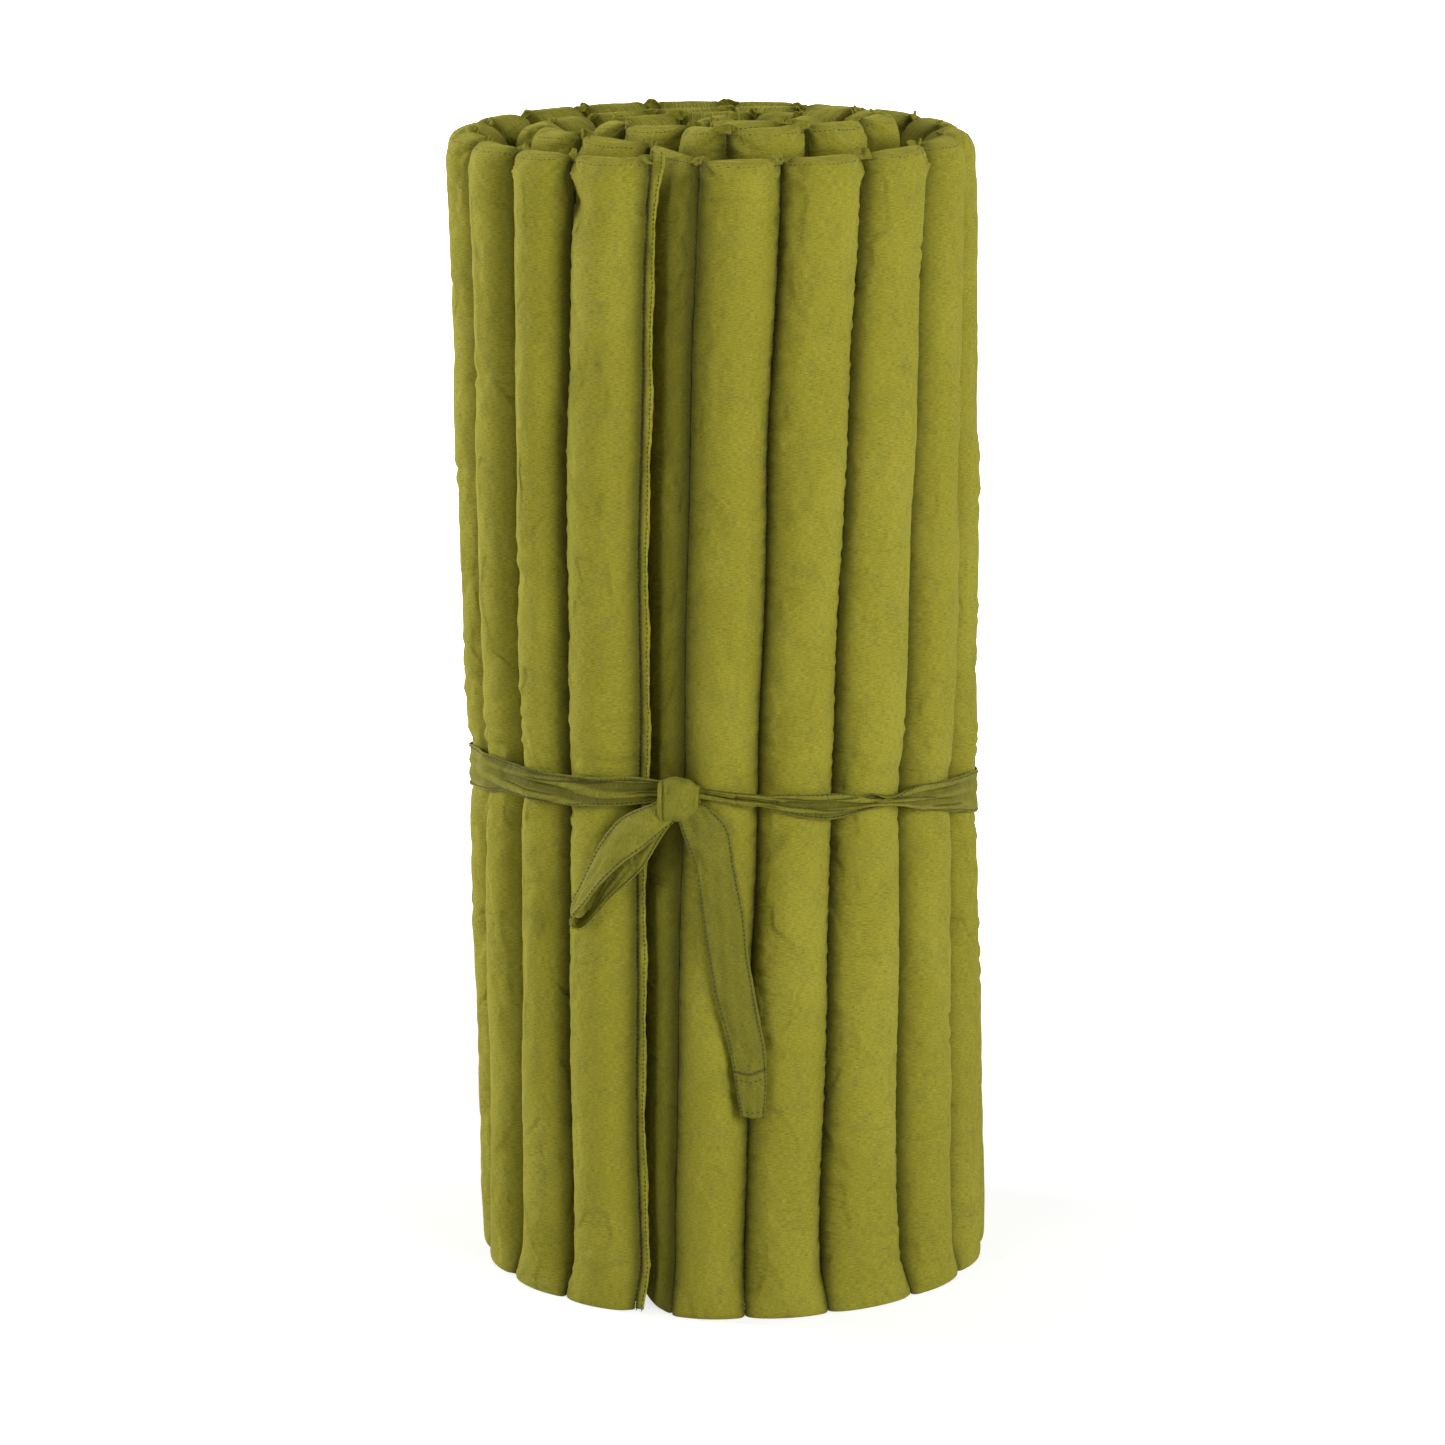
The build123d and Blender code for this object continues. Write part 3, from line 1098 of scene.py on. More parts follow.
    def panels(self) -> tuple[Array, Array]:
        """Divide the two panels into faces.

        Returns:
            The faces, and their corners' places on the cloth.
        """
        faces, cloth = [], []
        for panel, side in ((self.outer_panel, 1), (self.inner_panel, -1)):
            middle = self.points[panel[self.rows // 2]]
            across = running_length(middle) * side
            along = running_length(self.points[panel[:, self.columns // 2]])
            place = np.stack(np.meshgrid(across, along), axis=-1)
            quads = grid_faces(panel)
            corners = grid_faces(np.arange(panel.size).reshape(panel.shape))
            if side > 0:
                quads, corners = quads[:, ::-1], corners[:, ::-1]
            faces.append(quads)
            cloth.append(place.reshape(-1, 2)[corners])
        return np.vstack(faces), np.vstack(cloth)

    def crease_seams(self, piece: bpy.types.Object) -> None:
        """Keep a pouch's sewn edges sharp when it is subdivided."""
        mesh = piece.data
        sewn = np.zeros(len(mesh.vertices), bool)
        sewn[self.outer_panel[:, [0, -1]]] = True
        ends = np.empty(len(mesh.edges) * 2, int)
        mesh.edges.foreach_get("vertices", ends)
        along = sewn[ends.reshape(-1, 2)].all(axis=1)
        crease = mesh.attributes.new("crease_edge", "FLOAT", "EDGE")
        crease.data.foreach_set("value", along.astype(np.float32))

    def mirrored(self, points: Array) -> Array:
        """Swap the left and right of this pouch's points."""
        swapped = points.copy()
        for panel in (self.outer_panel, self.inner_panel):
            swapped[panel] = points[panel[:, ::-1]]
        swapped[:, 0] = self.width - swapped[:, 0]
        return swapped


@dataclass
class Stuffing:
    """Fills pouches by inflating them with a cloth simulation."""

    variants: int = 10
    frames: int = 14
    spare_length: float = 1.03  # the cloth is a little longer than the filled channel
    spare_cloth: float = -0.005
    pressure: float = 5.0
    roughness: float = 0.3 * MM

    def stood(self, pouch: Pouch, filled: Array) -> Array:
        """Stand a filled pouch on the floor, which holds its foot as flat as it was sewn."""
        free = smooth((pouch.points[:, 2] - 12 * MM) / (35 * MM))
        return pouch.points + free[:, None] * (filled - pouch.points)

    def fill(self, pouch: Pouch) -> list[Array]:
        """Inflate some copies of a pouch, each a little different.

        Args:
            pouch: The empty pouch.

        Returns:
            Each copy's points.
        """
        count = len(pouch.points)
        rng = np.random.default_rng(4)
        apart = np.array([pouch.width * 1.5, 0, 0])
        laid = [
            pouch.points + apart * copy + rng.normal(0, self.roughness, pouch.points.shape)
            for copy in range(self.variants)
        ]
        faces, cloth = pouch.panels()
        every = np.vstack([faces + count * copy for copy in range(self.variants)])
        piece = cloth_mesh("filling_room", np.vstack(laid), every, np.vstack([cloth] * self.variants))
        edge = np.unique(pouch.outer_panel[:, [0, -1]])
        sewn = (edge[None, :] + count * np.arange(self.variants)[:, None]).ravel()
        piece.vertex_groups.new(name="sewn").add(sewn.tolist(), 1.0, "REPLACE")
        piece.shape_key_add(name="Basis")
        cut = piece.shape_key_add(name="cut")
        longer = np.vstack(laid) * np.array([1, 1, self.spare_length])
        cut.data.foreach_set("co", longer.ravel())
        self.blow_up(piece, cut)
        graph = bpy.context.evaluated_depsgraph_get()
        result = bpy.data.meshes.new_from_object(piece.evaluated_get(graph))
        points = np.empty(len(result.vertices) * 3)
        result.vertices.foreach_get("co", points)
        bpy.data.objects.remove(piece)
        copies = points.reshape(self.variants, count, 3)
        return [self.stood(pouch, copy - apart * number) for number, copy in enumerate(copies)]

    def blow_up(self, piece: bpy.types.Object, cut: bpy.types.ShapeKey) -> None:
        """Run the cloth simulation on a piece.

        Args:
            piece: The pouches.
            cut: The shape key with the size that the cloth was cut to.
        """
        modifier = piece.modifiers.new("filling", "CLOTH")
        cloth = modifier.settings
        cloth.vertex_group_mass = "sewn"
        cloth.quality = 5
        cloth.mass = 0.15
        cloth.tension_stiffness = cloth.compression_stiffness = 15
        cloth.shear_stiffness = 5
        cloth.bending_stiffness = 0.05
        cloth.use_pressure = True
        cloth.uniform_pressure_force = self.pressure
        cloth.shrink_min = self.spare_cloth
        cloth.effector_weights.gravity = 0
        cloth.rest_shape_key = cut
        modifier.collision_settings.use_collision = False
        modifier.point_cache.frame_end = self.frames
        for frame in range(1, self.frames + 1):
            bpy.context.scene.frame_set(frame)


@dataclass
class Mat:
    """The mat's channels, each a filled pouch with its creases."""

    roll: Roll
    finish: bpy.types.Material
    pouch: Pouch
    sewing: Stitching
    stuffing: Stuffing = field(default_factory=Stuffing)
    step_bulges: tuple[float, float] = (9 * MM, 13 * MM)
    crease_depth: float = 1.1 * MM
    crease_width: float = 3.4 * MM
    clusters: tuple[int, int] = (3, 7)
    lump: float = 0.35 * MM
    squeeze: float = 2.5 * MM
    pucker: float = 0.35 * MM
    head_crease: float = 1.5 * MM
    seam_bend: tuple[float, float] = (0.5, 0.95)  # shares of the way to the seam where the bend lies
    hem_width: float = 6.5 * MM
    hem_rings: int = 260
    hem_points: int = 14
    flare_from: float = 735 * MM  # the height at which a hem widens towards its head
    flare_reach: float = 20 * MM
    wedge_clearance: float = 2.0
    panels: dict[int, Array] = field(default_factory=dict)
    facings: dict[int, Array] = field(default_factory=dict)
    stitches: dict[int, list[Array]] = field(default_factory=dict)
    casings: list[bpy.types.Object] = field(default_factory=list)

    def bulges(self, channel: int) -> tuple[float, float]:
        """How far out and in a channel stands, clear of its neighbours where the seams fold.

        Args:
            channel: The channel's number, from 0.

        Returns:
            The outer and the inner bulge.
        """
        steps_in = channel == self.roll.outer_count
        wanted = self.step_bulges if steps_in else (self.pouch.outer, self.pouch.inner)
        folds = self.roll.folds[max(0, channel - 1) : channel + 1]
        half = self.roll.widths[channel] / 2
        sizes = []
        for bulge, towards in zip(wanted, (-1, 1)):
            free = 90 - max(0, *(towards * folds)) / 2 - self.wedge_clearance
            sizes.append(min(bulge, half * math.tan(math.radians(free / 2))))
        return sizes[0], sizes[1]

    def creases(self, channel: int, seed: int, share: Array, height: Array) -> Array:
        """Fine creases that start at a seam and run across the channel.

        Args:
            channel: The channel's number.
            seed: Which pattern of creases.
            share: How far across the channel each point is, from 0 to 1.
            height: The points' heights.

        Returns:
            How far out each point moves.
        """
        rng = np.random.default_rng(seed)
        move = np.zeros(len(share))
        top = self.pouch.height
        tie = float(self.roll.tie_level(azimuth_of(self.middle(channel))))
        count = rng.integers(*self.clusters)
        middles = [*rng.uniform(0.06, 0.94, count) * top, tie + 20 * MM, tie - 30 * MM]
        for middle in middles:
            across = share if rng.random() < 0.5 else 1 - share
            gap = rng.uniform(6, 11) * MM
            bend = rng.uniform(-4, 9) * MM
            tilt = rng.normal(0, 6) * MM
            for line in range(rng.integers(2, 6)):
                start = middle + gap * (line + rng.uniform(-0.3, 0.3))
                reach = rng.uniform(0.35, 1.0)
                depth = self.crease_depth * rng.uniform(0.5, 1.2)
                width = self.crease_width * rng.uniform(0.8, 1.3)
                course = start + bend * (2 * across - 1) ** 2 + tilt * across
                fade = smooth(across / 0.08) * smooth((reach - across) / 0.35)
                at = height - course
                move += depth * fade * (0.6 * hump(at - 1.5 * width, width) - hump(at, width))
        return move

    def middle(self, channel: int) -> Array:
        """The point midway between a channel's seams."""
        return (self.roll.seams[channel] + self.roll.seams[channel + 1]) / 2

    def from_seams(self, channel: int, local: Array) -> Array:
        """How far points are from the nearer of a channel's two seams."""
        side = np.minimum(local[:, 0], self.roll.widths[channel] - local[:, 0])
        return np.hypot(side, local[:, 1])

    def puckers(self, channel: int, local: Array) -> Array:
        """Small waves along the seams, where the stitches draw the cloth in, and creases at the head.

        Args:
            channel: The channel's number; it seeds the waves.
            local: The points in the channel's frame.

        Returns:
            How far out each point moves.
        """
        rng = np.random.default_rng(300 + channel)
        near = self.from_seams(channel, local)
        z = local[:, 2]
        move = np.zeros(len(z))
        for left in (True, False):
            on_side = (local[:, 0] < self.roll.widths[channel] / 2) == left
            waves = sum(
                np.sin(2 * math.pi * z / length + rng.uniform(0, 6.28)) for length in (0.0083, 0.0127)
            )
            move += on_side * self.pucker * waves * hump(near - 7 * MM, 5 * MM)
            seam_x = 0.0 if left else self.roll.widths[channel]
            inwards = (local[:, 0] - seam_x) * (1 if left else -1)
            below = self.pouch.height - z
            for slope, start in ((1.0, 3.0), (0.45, 8.0), (1.9, 1.0)):
                off = below - start * MM - slope * inwards + rng.uniform(-1, 1) * MM
                fade = smooth((inwards - 1 * MM) / (3 * MM)) * smooth((17 * MM - inwards) / (12 * MM))
                line = hump(off, 1.8 * MM) - 0.7 * hump(off - 3.4 * MM, 2.2 * MM)
                move -= on_side * self.head_crease * fade * line
        return move

    def notch(self, share: Array, local: Array) -> Array:
        """The dent in the free end's channel, below its head on the side of the next channel."""
        place = hump(share - 0.9, 0.28) * (local[:, 1] > 0)
        return 5 * MM * place * hump(local[:, 2] - 728 * MM, 10 * MM)

    def mark_painted_shade_and_gathers(self, piece: bpy.types.Object, channel: int, local: Array) -> None:
        """Mark the painted shade near the seams, and where the cloth is gathered at the head (its
        folds' bump and the painted shade in their grooves).
        """
        depth = self.from_seams(channel, local)
        # painted shade: strongest at the seams, fading over 7 mm and again over 17 mm
        mark(piece, "seam", 0.5 * hump(depth, 7 * MM) + 0.5 * hump(depth, 17 * MM))
        slope = smooth((local[:, 2] - self.pouch.height + 32 * MM) / (12 * MM))
        mark(piece, "gather", slope * smooth((8 * MM - local[:, 1]) / (10 * MM)))

    def seam_frame(self, seam: int, height: float) -> tuple[Array, Array, Array]:
        """A point on a seam, the direction along the mat there, and outwards.

        Args:
            seam: The seam's number.
            height: The height in the CAD frame.

        Returns:
            The point and the two directions.
        """
        point = self.roll.seam_line(seam, np.array([height]))[0]
        beside = max(seam - 1, 0), min(seam, len(self.roll.widths) - 1)
        turn = math.radians(self.roll.headings[beside[0]])
        next_turn = math.radians(self.roll.headings[beside[1]])
        x = math.cos(turn) + math.cos(next_turn)
        y = math.sin(turn) + math.sin(next_turn)
        along = np.array([x, y, 0])
        along /= np.linalg.norm(along)
        return point, along, np.array([-along[1], along[0], 0])

    def ear(self, seam: int, side: int) -> bpy.types.Object:
        """The small folded corner of cloth that stands up at a seam's head.

        Args:
            seam: The seam's number.
            side: 1 for the corner of the channel after the seam, -1 for the one before it.

        Returns:
            The corner as a piece of its own.
        """
        rng = np.random.default_rng(700 + 2 * seam + side)
        point, along, out = self.seam_frame(seam, self.pouch.height - self.pouch.shoulder - 0.5 * MM)
        width, height = rng.uniform(6, 11) * MM, rng.uniform(5, 8.5) * MM
        turn, lean = rng.normal(0, 0.35), rng.normal(-0.35, 0.35)
        across = along * math.cos(turn) + out * math.sin(turn)
        upright = np.array([0, 0, 1]) + out * lean + across * side * rng.uniform(-0.2, 0.6)
        upright /= np.linalg.norm(upright)
        facing = np.cross(across, upright)
        u, v = np.meshgrid(np.linspace(-0.25, 1, 8), np.linspace(0, 1, 6))
        slant = 1 - rng.uniform(0.2, 0.7) * np.abs(u) ** 1.5
        wave = rng.uniform(0.6, 1.3) * MM * np.sin(4.5 * u + rng.uniform(0, 6.28)) * (0.4 + v)
        curl = rng.uniform(-1.5, 2.5) * MM * v**2
        grid = (
            point
            + across * (side * width * u * (1 - 0.25 * v))[..., None]
            + upright * (height * (v * slant - 0.35))[..., None]
            + facing * (wave + curl)[..., None]
        )
        piece = sheet_mesh("ear", grid)
        subdivided(piece)
        thickened(piece, 0.9 * MM)
        # Painted shade: the whole ear takes 0.4 of the seam shade colour.
        mark(piece, "seam", np.full(len(piece.data.vertices), 0.4))
        mark(piece, "gather", np.zeros(len(piece.data.vertices)))
        return piece

    def hem(self, channel: int, edge: float, side: int) -> bpy.types.Object:
        """The flat sewn hem at a free end of the mat.

        Args:
            channel: The channel that it adjoins.
            edge: The place of the channel's edge across it.
            side: -1 where the hem goes on to the left of that edge, 1 to the right.

        Returns:
            The hem as a piece of its own.
        """
        rng = np.random.default_rng(40 + channel)
        height = np.linspace(1.5 * MM, self.pouch.height + 2 * MM, self.hem_rings)
        around_count = self.hem_points
        turn = np.linspace(0, 2 * math.pi, around_count, endpoint=False)
        wave = sum(
            math.sqrt(length / 0.03) * np.sin(2 * math.pi * height / length + rng.uniform(0, 6.28))
            for length in (0.011, 0.031, 0.073)
        )
        flare = smooth((height - self.flare_from) / self.flare_reach)
        width = self.hem_width + 0.22 * MM * wave + 3.5 * MM * flare
        bend = 0.35 * MM * np.roll(wave, 9) + 1.5 * MM * flare - 0.5 * MM
        thick = (1.25 + 0.25 * np.roll(wave, 21))[:, None] * MM
        across = 0.5 - 0.5 * np.cos(turn)
        x = edge + side * (width[:, None] * across + 0.2 * MM)
        y = (
            thick * np.sign(np.sin(turn)) * np.abs(np.sin(turn)) ** 0.6 * (0.55 + 0.45 * across)
            + bend[:, None] * across**1.5
        )
        z = np.repeat(height[:, None], around_count, axis=1)
        rings = np.stack([x, y, z], axis=-1)
        foot = rings[:1].mean(1, keepdims=True).repeat(around_count, 1)
        head = rings[-1:].mean(1, keepdims=True).repeat(around_count, 1)
        rings = np.concatenate([foot, rings, head])
        points = self.roll.stand(channel, rings.reshape(-1, 3))
        numbers = np.arange(len(points)).reshape(rings.shape[:2])
        faces = grid_faces(numbers, closed=True)
        if side > 0:
            faces = faces[:, ::-1]
        place = np.stack([rings[..., 0], rings[..., 2]], axis=-1).reshape(-1, 2)
        piece = cloth_mesh("hem", points, faces, place[faces])
        shape = (*rings.shape[:2], 3)
        stand = points.reshape(shape)[1:-1]
        facing = read_normals(piece).reshape(shape)[1:-1]
        for column in (2, 5):
            self.stitches[channel].append(stand[:, column] + 0.25 * MM * facing[:, column])
        # Painted shade along the hem's edge against the channel, fading over 3 mm.
        mark(piece, "seam", hump(rings[..., 0] - edge, 3 * MM).ravel())
        mark(piece, "gather", np.zeros(len(points)))
        return piece

    def lumps(self, seed: int, share: Array, height: Array) -> Array:
        """Slow waves where the filling is fuller or thinner, along the channel and across it."""
        rng = np.random.default_rng(seed)
        move = np.zeros(len(share))
        for length in (0.27, 0.16, 0.09):
            phase, slant = rng.uniform(0, 2 * math.pi), rng.uniform(-1.5, 1.5)
            move += self.lump * np.sin(2 * math.pi * height / length + phase + slant * share)
        return move * np.sin(math.pi * np.clip(share, 0, 1))

    def pinch(self, channel: int, local: Array, outer: float) -> Array:
        """How far the tie presses the channel's outer side in, and pushes it out beside itself."""
        level = float(self.roll.tie_level(azimuth_of(self.middle(channel))))
        off = local[:, 2] - level
        crown = np.clip(local[:, 1] / outer, 0, 1) ** 1.5
        beside = hump(np.abs(off) - 34 * MM, 16 * MM)
        return crown * (0.35 * self.squeeze * beside - self.squeeze * hump(off, 17 * MM))

    def shape(self, channel: int, points: Array) -> Array:
        """Fit a filled pouch's points to one channel's width and bulges."""
        outer, inner = self.bulges(channel)
        scale = np.where(points[:, 1] > 0, outer / self.pouch.outer, inner / self.pouch.inner)
        width = self.roll.widths[channel] / self.pouch.width
        return np.column_stack([points[:, 0] * width, points[:, 1] * scale, points[:, 2]])

    def casing(self, channel: int, filled: Array) -> bpy.types.Object:
        """Make one channel's casing and stand it in the roll.

        Args:
            channel: The channel's number, from 0.
            filled: The filled pouch's points.

        Returns:
            The finished piece; only the last channel's rides on its body.
        """
        body = f"channel_{channel + 1:02d}"
        faces, cloth = self.pouch.panels()
        offset = np.array([0.173 * channel, 0.061 * channel])
        local = self.shape(channel, filled)
        piece = cloth_mesh(f"casing_{channel + 1:02d}", local, faces, cloth + offset)
        self.pouch.crease_seams(piece)
        subdivided(piece)
        local, normals = read_points(piece), read_normals(piece)
        share = local[:, 0] / self.roll.widths[channel]
        move = self.lumps(900 + channel, share, local[:, 2])
        faces_out = local[:, 1] > 0
        for side, seed in ((faces_out, 500 + channel), (~faces_out, 600 + channel)):
            move[side] += self.creases(channel, seed, share[side], local[side, 2])
        inside = smooth(local[:, 2] / (25 * MM)) * smooth((self.pouch.height - local[:, 2]) / (25 * MM))
        move *= inside
        move += self.puckers(channel, local)
        if channel == 0:
            move -= self.notch(share, local)
        self.mark_painted_shade_and_gathers(piece, channel, local)
        local = local + normals * move[:, None]
        if channel < self.roll.outer_count:
            local[:, 1] += self.pinch(channel, local, self.pouch.outer)
        write_points(piece, self.roll.stand(channel, local))
        self.panels[channel] = read_points(piece)[self.pouch.outer_panel]
        self.facings[channel] = read_normals(piece)[self.pouch.outer_panel]
        self.stitches[channel] = []
        extras = [self.ear(seam, side) for seam, side in ((channel, 1), (channel + 1, -1))]
        if channel == 0:
            extras.append(self.hem(channel, 0.0, -1))
        if channel == len(self.roll.widths) - 1:
            extras.append(self.hem(channel, float(self.roll.widths[channel]), 1))
        absorb(piece, extras)
        self.stitch(channel)
        dressed(piece, self.finish, Slot.CASING, body)
        self.join(piece, channel)
        LOG.info("%s rides on %s", piece.name, body)
        return piece

    def build(self) -> None:
        """Fill the pouches and stand every channel in the roll."""
        filled = self.stuffing.fill(self.pouch)
        for channel in range(len(self.roll.widths)):
            copy = filled[(channel * 7) % len(filled)]
            if channel % 2:
                copy = self.pouch.mirrored(copy)
            self.casings.append(self.casing(channel, copy))

    def join(self, piece: bpy.types.Object, channel: int) -> None:
        """Attach the last channel's piece to its body, and bake any other piece's transform into its
        mesh.

        A seam's line wanders about its hinge, so cloth that followed its own channel alone would part
        from the next channel's as the mat unrolls; the directions along the seams worked out here are
        not used.

        Args:
            piece: The piece.
            channel: The channel's number, from 0.
        """
        body = f"channel_{channel + 1:02d}"
        if channel == len(self.roll.widths) - 1:
            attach(piece, body)
            return
        heights = np.linspace(0, self.pouch.height, 60)
        first, last = (self.roll.seam_line(seam, heights) for seam in (channel, channel + 1))
        rise = (first[-1] - first[0]) + (last[-1] - last[0])
        rise /= np.linalg.norm(rise)
        along = (last - first).mean(axis=0)
        along -= rise * (along @ rise)
        along /= np.linalg.norm(along)
        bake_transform(piece)

    def stitch(self, channel: int) -> None:
        """Sew a channel's head and its first seam."""
        lifted = self.panels[channel] + 0.25 * MM * self.facings[channel]
        top = 0.5 * lifted[-2, 1:-1] + 0.5 * lifted[-1, 1:-1]
        height = np.linspace(4 * MM, self.pouch.height - self.pouch.shoulder, 240)
        rows = self.stitches[channel]
        rows.append(spline(top, 40))
        _, _, out = self.seam_frame(channel, self.pouch.height / 2)
        rows.append(self.roll.seam_line(channel, height) + 0.9 * MM * out)
        name = f"casing_stitches_{channel + 1:02d}"
        self.join(self.sewing.lay(name, rows, 7 * channel, Slot.CASING), channel)

    def crown(self, channel: int) -> float:
        """The radius of a channel's outermost point beside the tie."""
        points = self.panels[channel].reshape(-1, 3)
        level = self.roll.tie_level(azimuth_of(points))
        beside = points[np.abs(points[:, 2] - level) < 14 * MM]
        return float(np.hypot(beside[:, 0], beside[:, 1]).max())


# --- The tie -----------------------------------------------------------------------------------


@dataclass
class TieBand:
    """The cotton tie round the outer turn, cut at each channel's crown so that it can unroll."""

    roll: Roll
    mat: Mat
    finish: bpy.types.Material
    sewing: Stitching
    width: float = 30 * MM
    thickness: float = 0.9 * MM
    crown_round: float = 24 * MM
    knot_azimuth: float = -9.2
    knot_radius: float = 0.17
    knot_half_width: float = 10 * MM
    samples: int = 49
    step: float = 1.6 * MM
    # how wide the cloth lies, as a share of its width, by degrees clockwise from the knot
    gathering: tuple[tuple[float, float], ...] = (
        (0, 0.42),
        (14, 0.62),
        (48, 0.68),
        (64, 0.9),
        (90, 0.96),
        (270, 0.97),
        (286, 0.78),
        (299, 0.62),
        (312.5, 0.2),
        (327, 0.56),
        (334, 0.48),
        (343, 0.26),
        (360, 0.2),
    )
    edge_column: int = 3
    # how deep below its outermost folds the tie's painted shade reaches full
    fold_shade_depth: float = 3.5 * MM

    def course(self) -> tuple[Array, Array]:
        """Lay the tie tightly round the crowns, from the knot clockwise back to the knot.

        Returns:
            The points of its inner face's middle, and for each the channel whose crown it
            passed last, 0 for none.
        """
        count = self.roll.outer_count
        rows = range(count)
        crown = np.array([self.mat.crown(channel) for channel in rows])
        middles = np.array([self.mat.middle(channel) for channel in rows])
        turn = azimuth_of(middles)
        centres = around(turn, crown - self.crown_round, 0.0)[:, :2]
        ring = np.vstack([centres[-1:], centres, centres[:1]])
        runs = np.diff(ring, axis=0)
        normals = np.column_stack([-runs[:, 1], runs[:, 0]])
        normals /= np.linalg.norm(normals, axis=1)[:, None]
        points: list[Array] = []
        passed: list[int] = []
        for number in range(count + 1):
            start = ring[number] + normals[number] * self.crown_round
            end = ring[number + 1] + normals[number] * self.crown_round
            steps = max(2, int(np.linalg.norm(end - start) / self.step))
            share = np.linspace(0, 1, steps, endpoint=False)[:, None]
            points.append(start + (end - start) * share)
            passed += [number] * steps
            if number == count:
                break
            for half, last in ((0, number), (1, number + 1)):
                share = np.linspace(half / 2, half / 2 + 0.5, 4, endpoint=False)[:, None]
                facing = normals[number] * (1 - share) + normals[number + 1] * share
                facing /= np.linalg.norm(facing, axis=1)[:, None]
                points.append(ring[number + 1] + facing * self.crown_round)
                passed += [last] * 4
        path, crossed = np.vstack(points), np.array(passed)
        knot = around(self.knot_azimuth, self.knot_radius, 0.0)[:2]
        facing_knot = math.radians(self.knot_azimuth)
        edge = np.array([math.cos(facing_knot), math.sin(facing_knot)])
        beside = (path - knot) @ edge
        first = (crossed == 0) & (beside < -self.knot_half_width)
        final = (crossed == count) & (beside > self.knot_half_width)
        between = (crossed > 0) & (crossed < count)
        keep = first | between | final
        return path[keep], crossed[keep]

    def section(self, share: float, place: float) -> tuple[Array, Array, Array]:
        """Gather the cloth's width into folds.

        Args:
            share: How wide it lies, as a share of its width.
            place: Where along the tie, in metres, which shifts the folds.

        Returns:
            How high and how far out each point across the cloth is, and how creased.
        """
        swings = np.linspace(0, 2.4, 60)
        waves = np.linspace(0, 2 * math.pi, 64, endpoint=False)
        shares = np.cos(swings[:, None] * np.sin(waves)).mean(axis=1)
        swing = np.interp(-share, -shares, swings)
        across = np.linspace(0, 1, self.samples)
        drift = 2.2 * math.sin(place / 0.043 + 1) + 1.1 * math.sin(place / 0.017)
        phase = 2 * math.pi * 2.3 * across + drift + 1.3 * np.sin(4 * across + place / 0.05)
        angle = swing * np.sin(phase)
        step = self.width / (self.samples - 1)
        high = np.r_[0, np.cumsum(np.cos(angle[1:]))] * step
        out = np.r_[0, np.cumsum(np.sin(angle[1:]))] * step * 0.62
        out = out - np.linspace(out[0], out[-1], self.samples)
        crease = np.zeros(self.samples)
        for number, base in enumerate((0.17, 0.36, 0.55, 0.72, 0.86)):
            track = base + 0.07 * math.sin(place / (0.021 + 0.006 * number) + 2.1 * number)
            strength = smooth(0.55 + 0.9 * math.sin(place / (0.013 + 0.004 * number) + 1.7 * number))
            crease = np.maximum(crease, strength * hump(across - track, 0.032))
        crease *= smooth((1 - share) / 0.25)
        return high - high.mean(), out - out.min() - 1.3 * MM * crease, crease

    def rows(self, path: Array) -> tuple[Array, Array]:
        """Place the gathered cloth along the tie's course.

        Args:
            path: The points of its inner face's middle.

        Returns:
            The cloth's points, by row along it and column across it, and how creased it is.
        """
        heading = np.gradient(path, axis=0)
        heading /= np.linalg.norm(heading, axis=1)[:, None]
        facing = np.column_stack([-heading[:, 1], heading[:, 0]])
        azimuth = azimuth_of(path)
        clockwise = (self.knot_azimuth - azimuth) % 360
        share = eased(clockwise, self.gathering)
        level = self.roll.tie_level(azimuth)
        along = running_length(path)
        rows, creases = [], []
        for number, place in enumerate(along):
            high, out, crease = self.section(float(share[number]), float(place))
            base = path[number] + facing[number] * (0.4 * MM + self.thickness + out)[:, None]
            rows.append(np.column_stack([base, level[number] + high]))
            creases.append(crease)
        return np.array(rows), np.array(creases)

    def build(self, mat_pieces: Sequence[bpy.types.Object]) -> None:
        """Make the tie's stretches, from crown to crown.

        Args:
            mat_pieces: Not used.
        """
        path, crossed = self.course()
        grid, creases = self.rows(path)
        count = self.roll.outer_count
        for number in range(count + 1):
            rows = np.flatnonzero(crossed == number)
            rows = np.r_[rows, rows[-1] + 1] if number < count else rows
            part = grid[rows]
            name = f"tie_stretch_{number:02d}"
            piece = sheet_mesh(name, part)
            outwards = read_normals(piece)[:, :2] * read_points(piece)[:, :2]
            if outwards.sum() < 0:
                piece.data.flip_normals()
            facing = read_normals(piece).reshape(part.shape)
            edges = [
                part[:, column] + 0.2 * MM * facing[:, column]
                for column in (self.edge_column, -1 - self.edge_column)
            ]
            thread = self.sewing.lay(f"tie_stitches_{number:02d}", edges, 900 + number, Slot.TIE)
            # Painted shade: the whole tie is darkened, more where its cloth lies deeper than its
            # outermost folds, along the columns beside its stitched edges, and in its creases.
            radius = np.hypot(part[..., 0], part[..., 1])
            depth = radius.max(axis=1, keepdims=True) - radius
            folded = 0.22 + 0.4 * smooth(depth / self.fold_shade_depth)
            folded[:, [2, -3]] += 0.35
            mark(piece, "seam", np.maximum(folded, creases[rows]).ravel())
            thickened(piece, self.thickness)
            if number in (0, count):
                body = f"channel_{max(number, 1):02d}"
                dressed(piece, self.finish, Slot.TIE)
                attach(piece, body)
                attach(thread, body)
            else:
                body, following = f"channel_{number:02d}", f"channel_{number + 1:02d}"
                dressed(piece, self.finish, Slot.TIE, f"tie_span_{number + 1:02d}")
                for sewn in (piece, thread):
                    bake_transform(sewn)
            LOG.info("%s starts on %s", name, body)


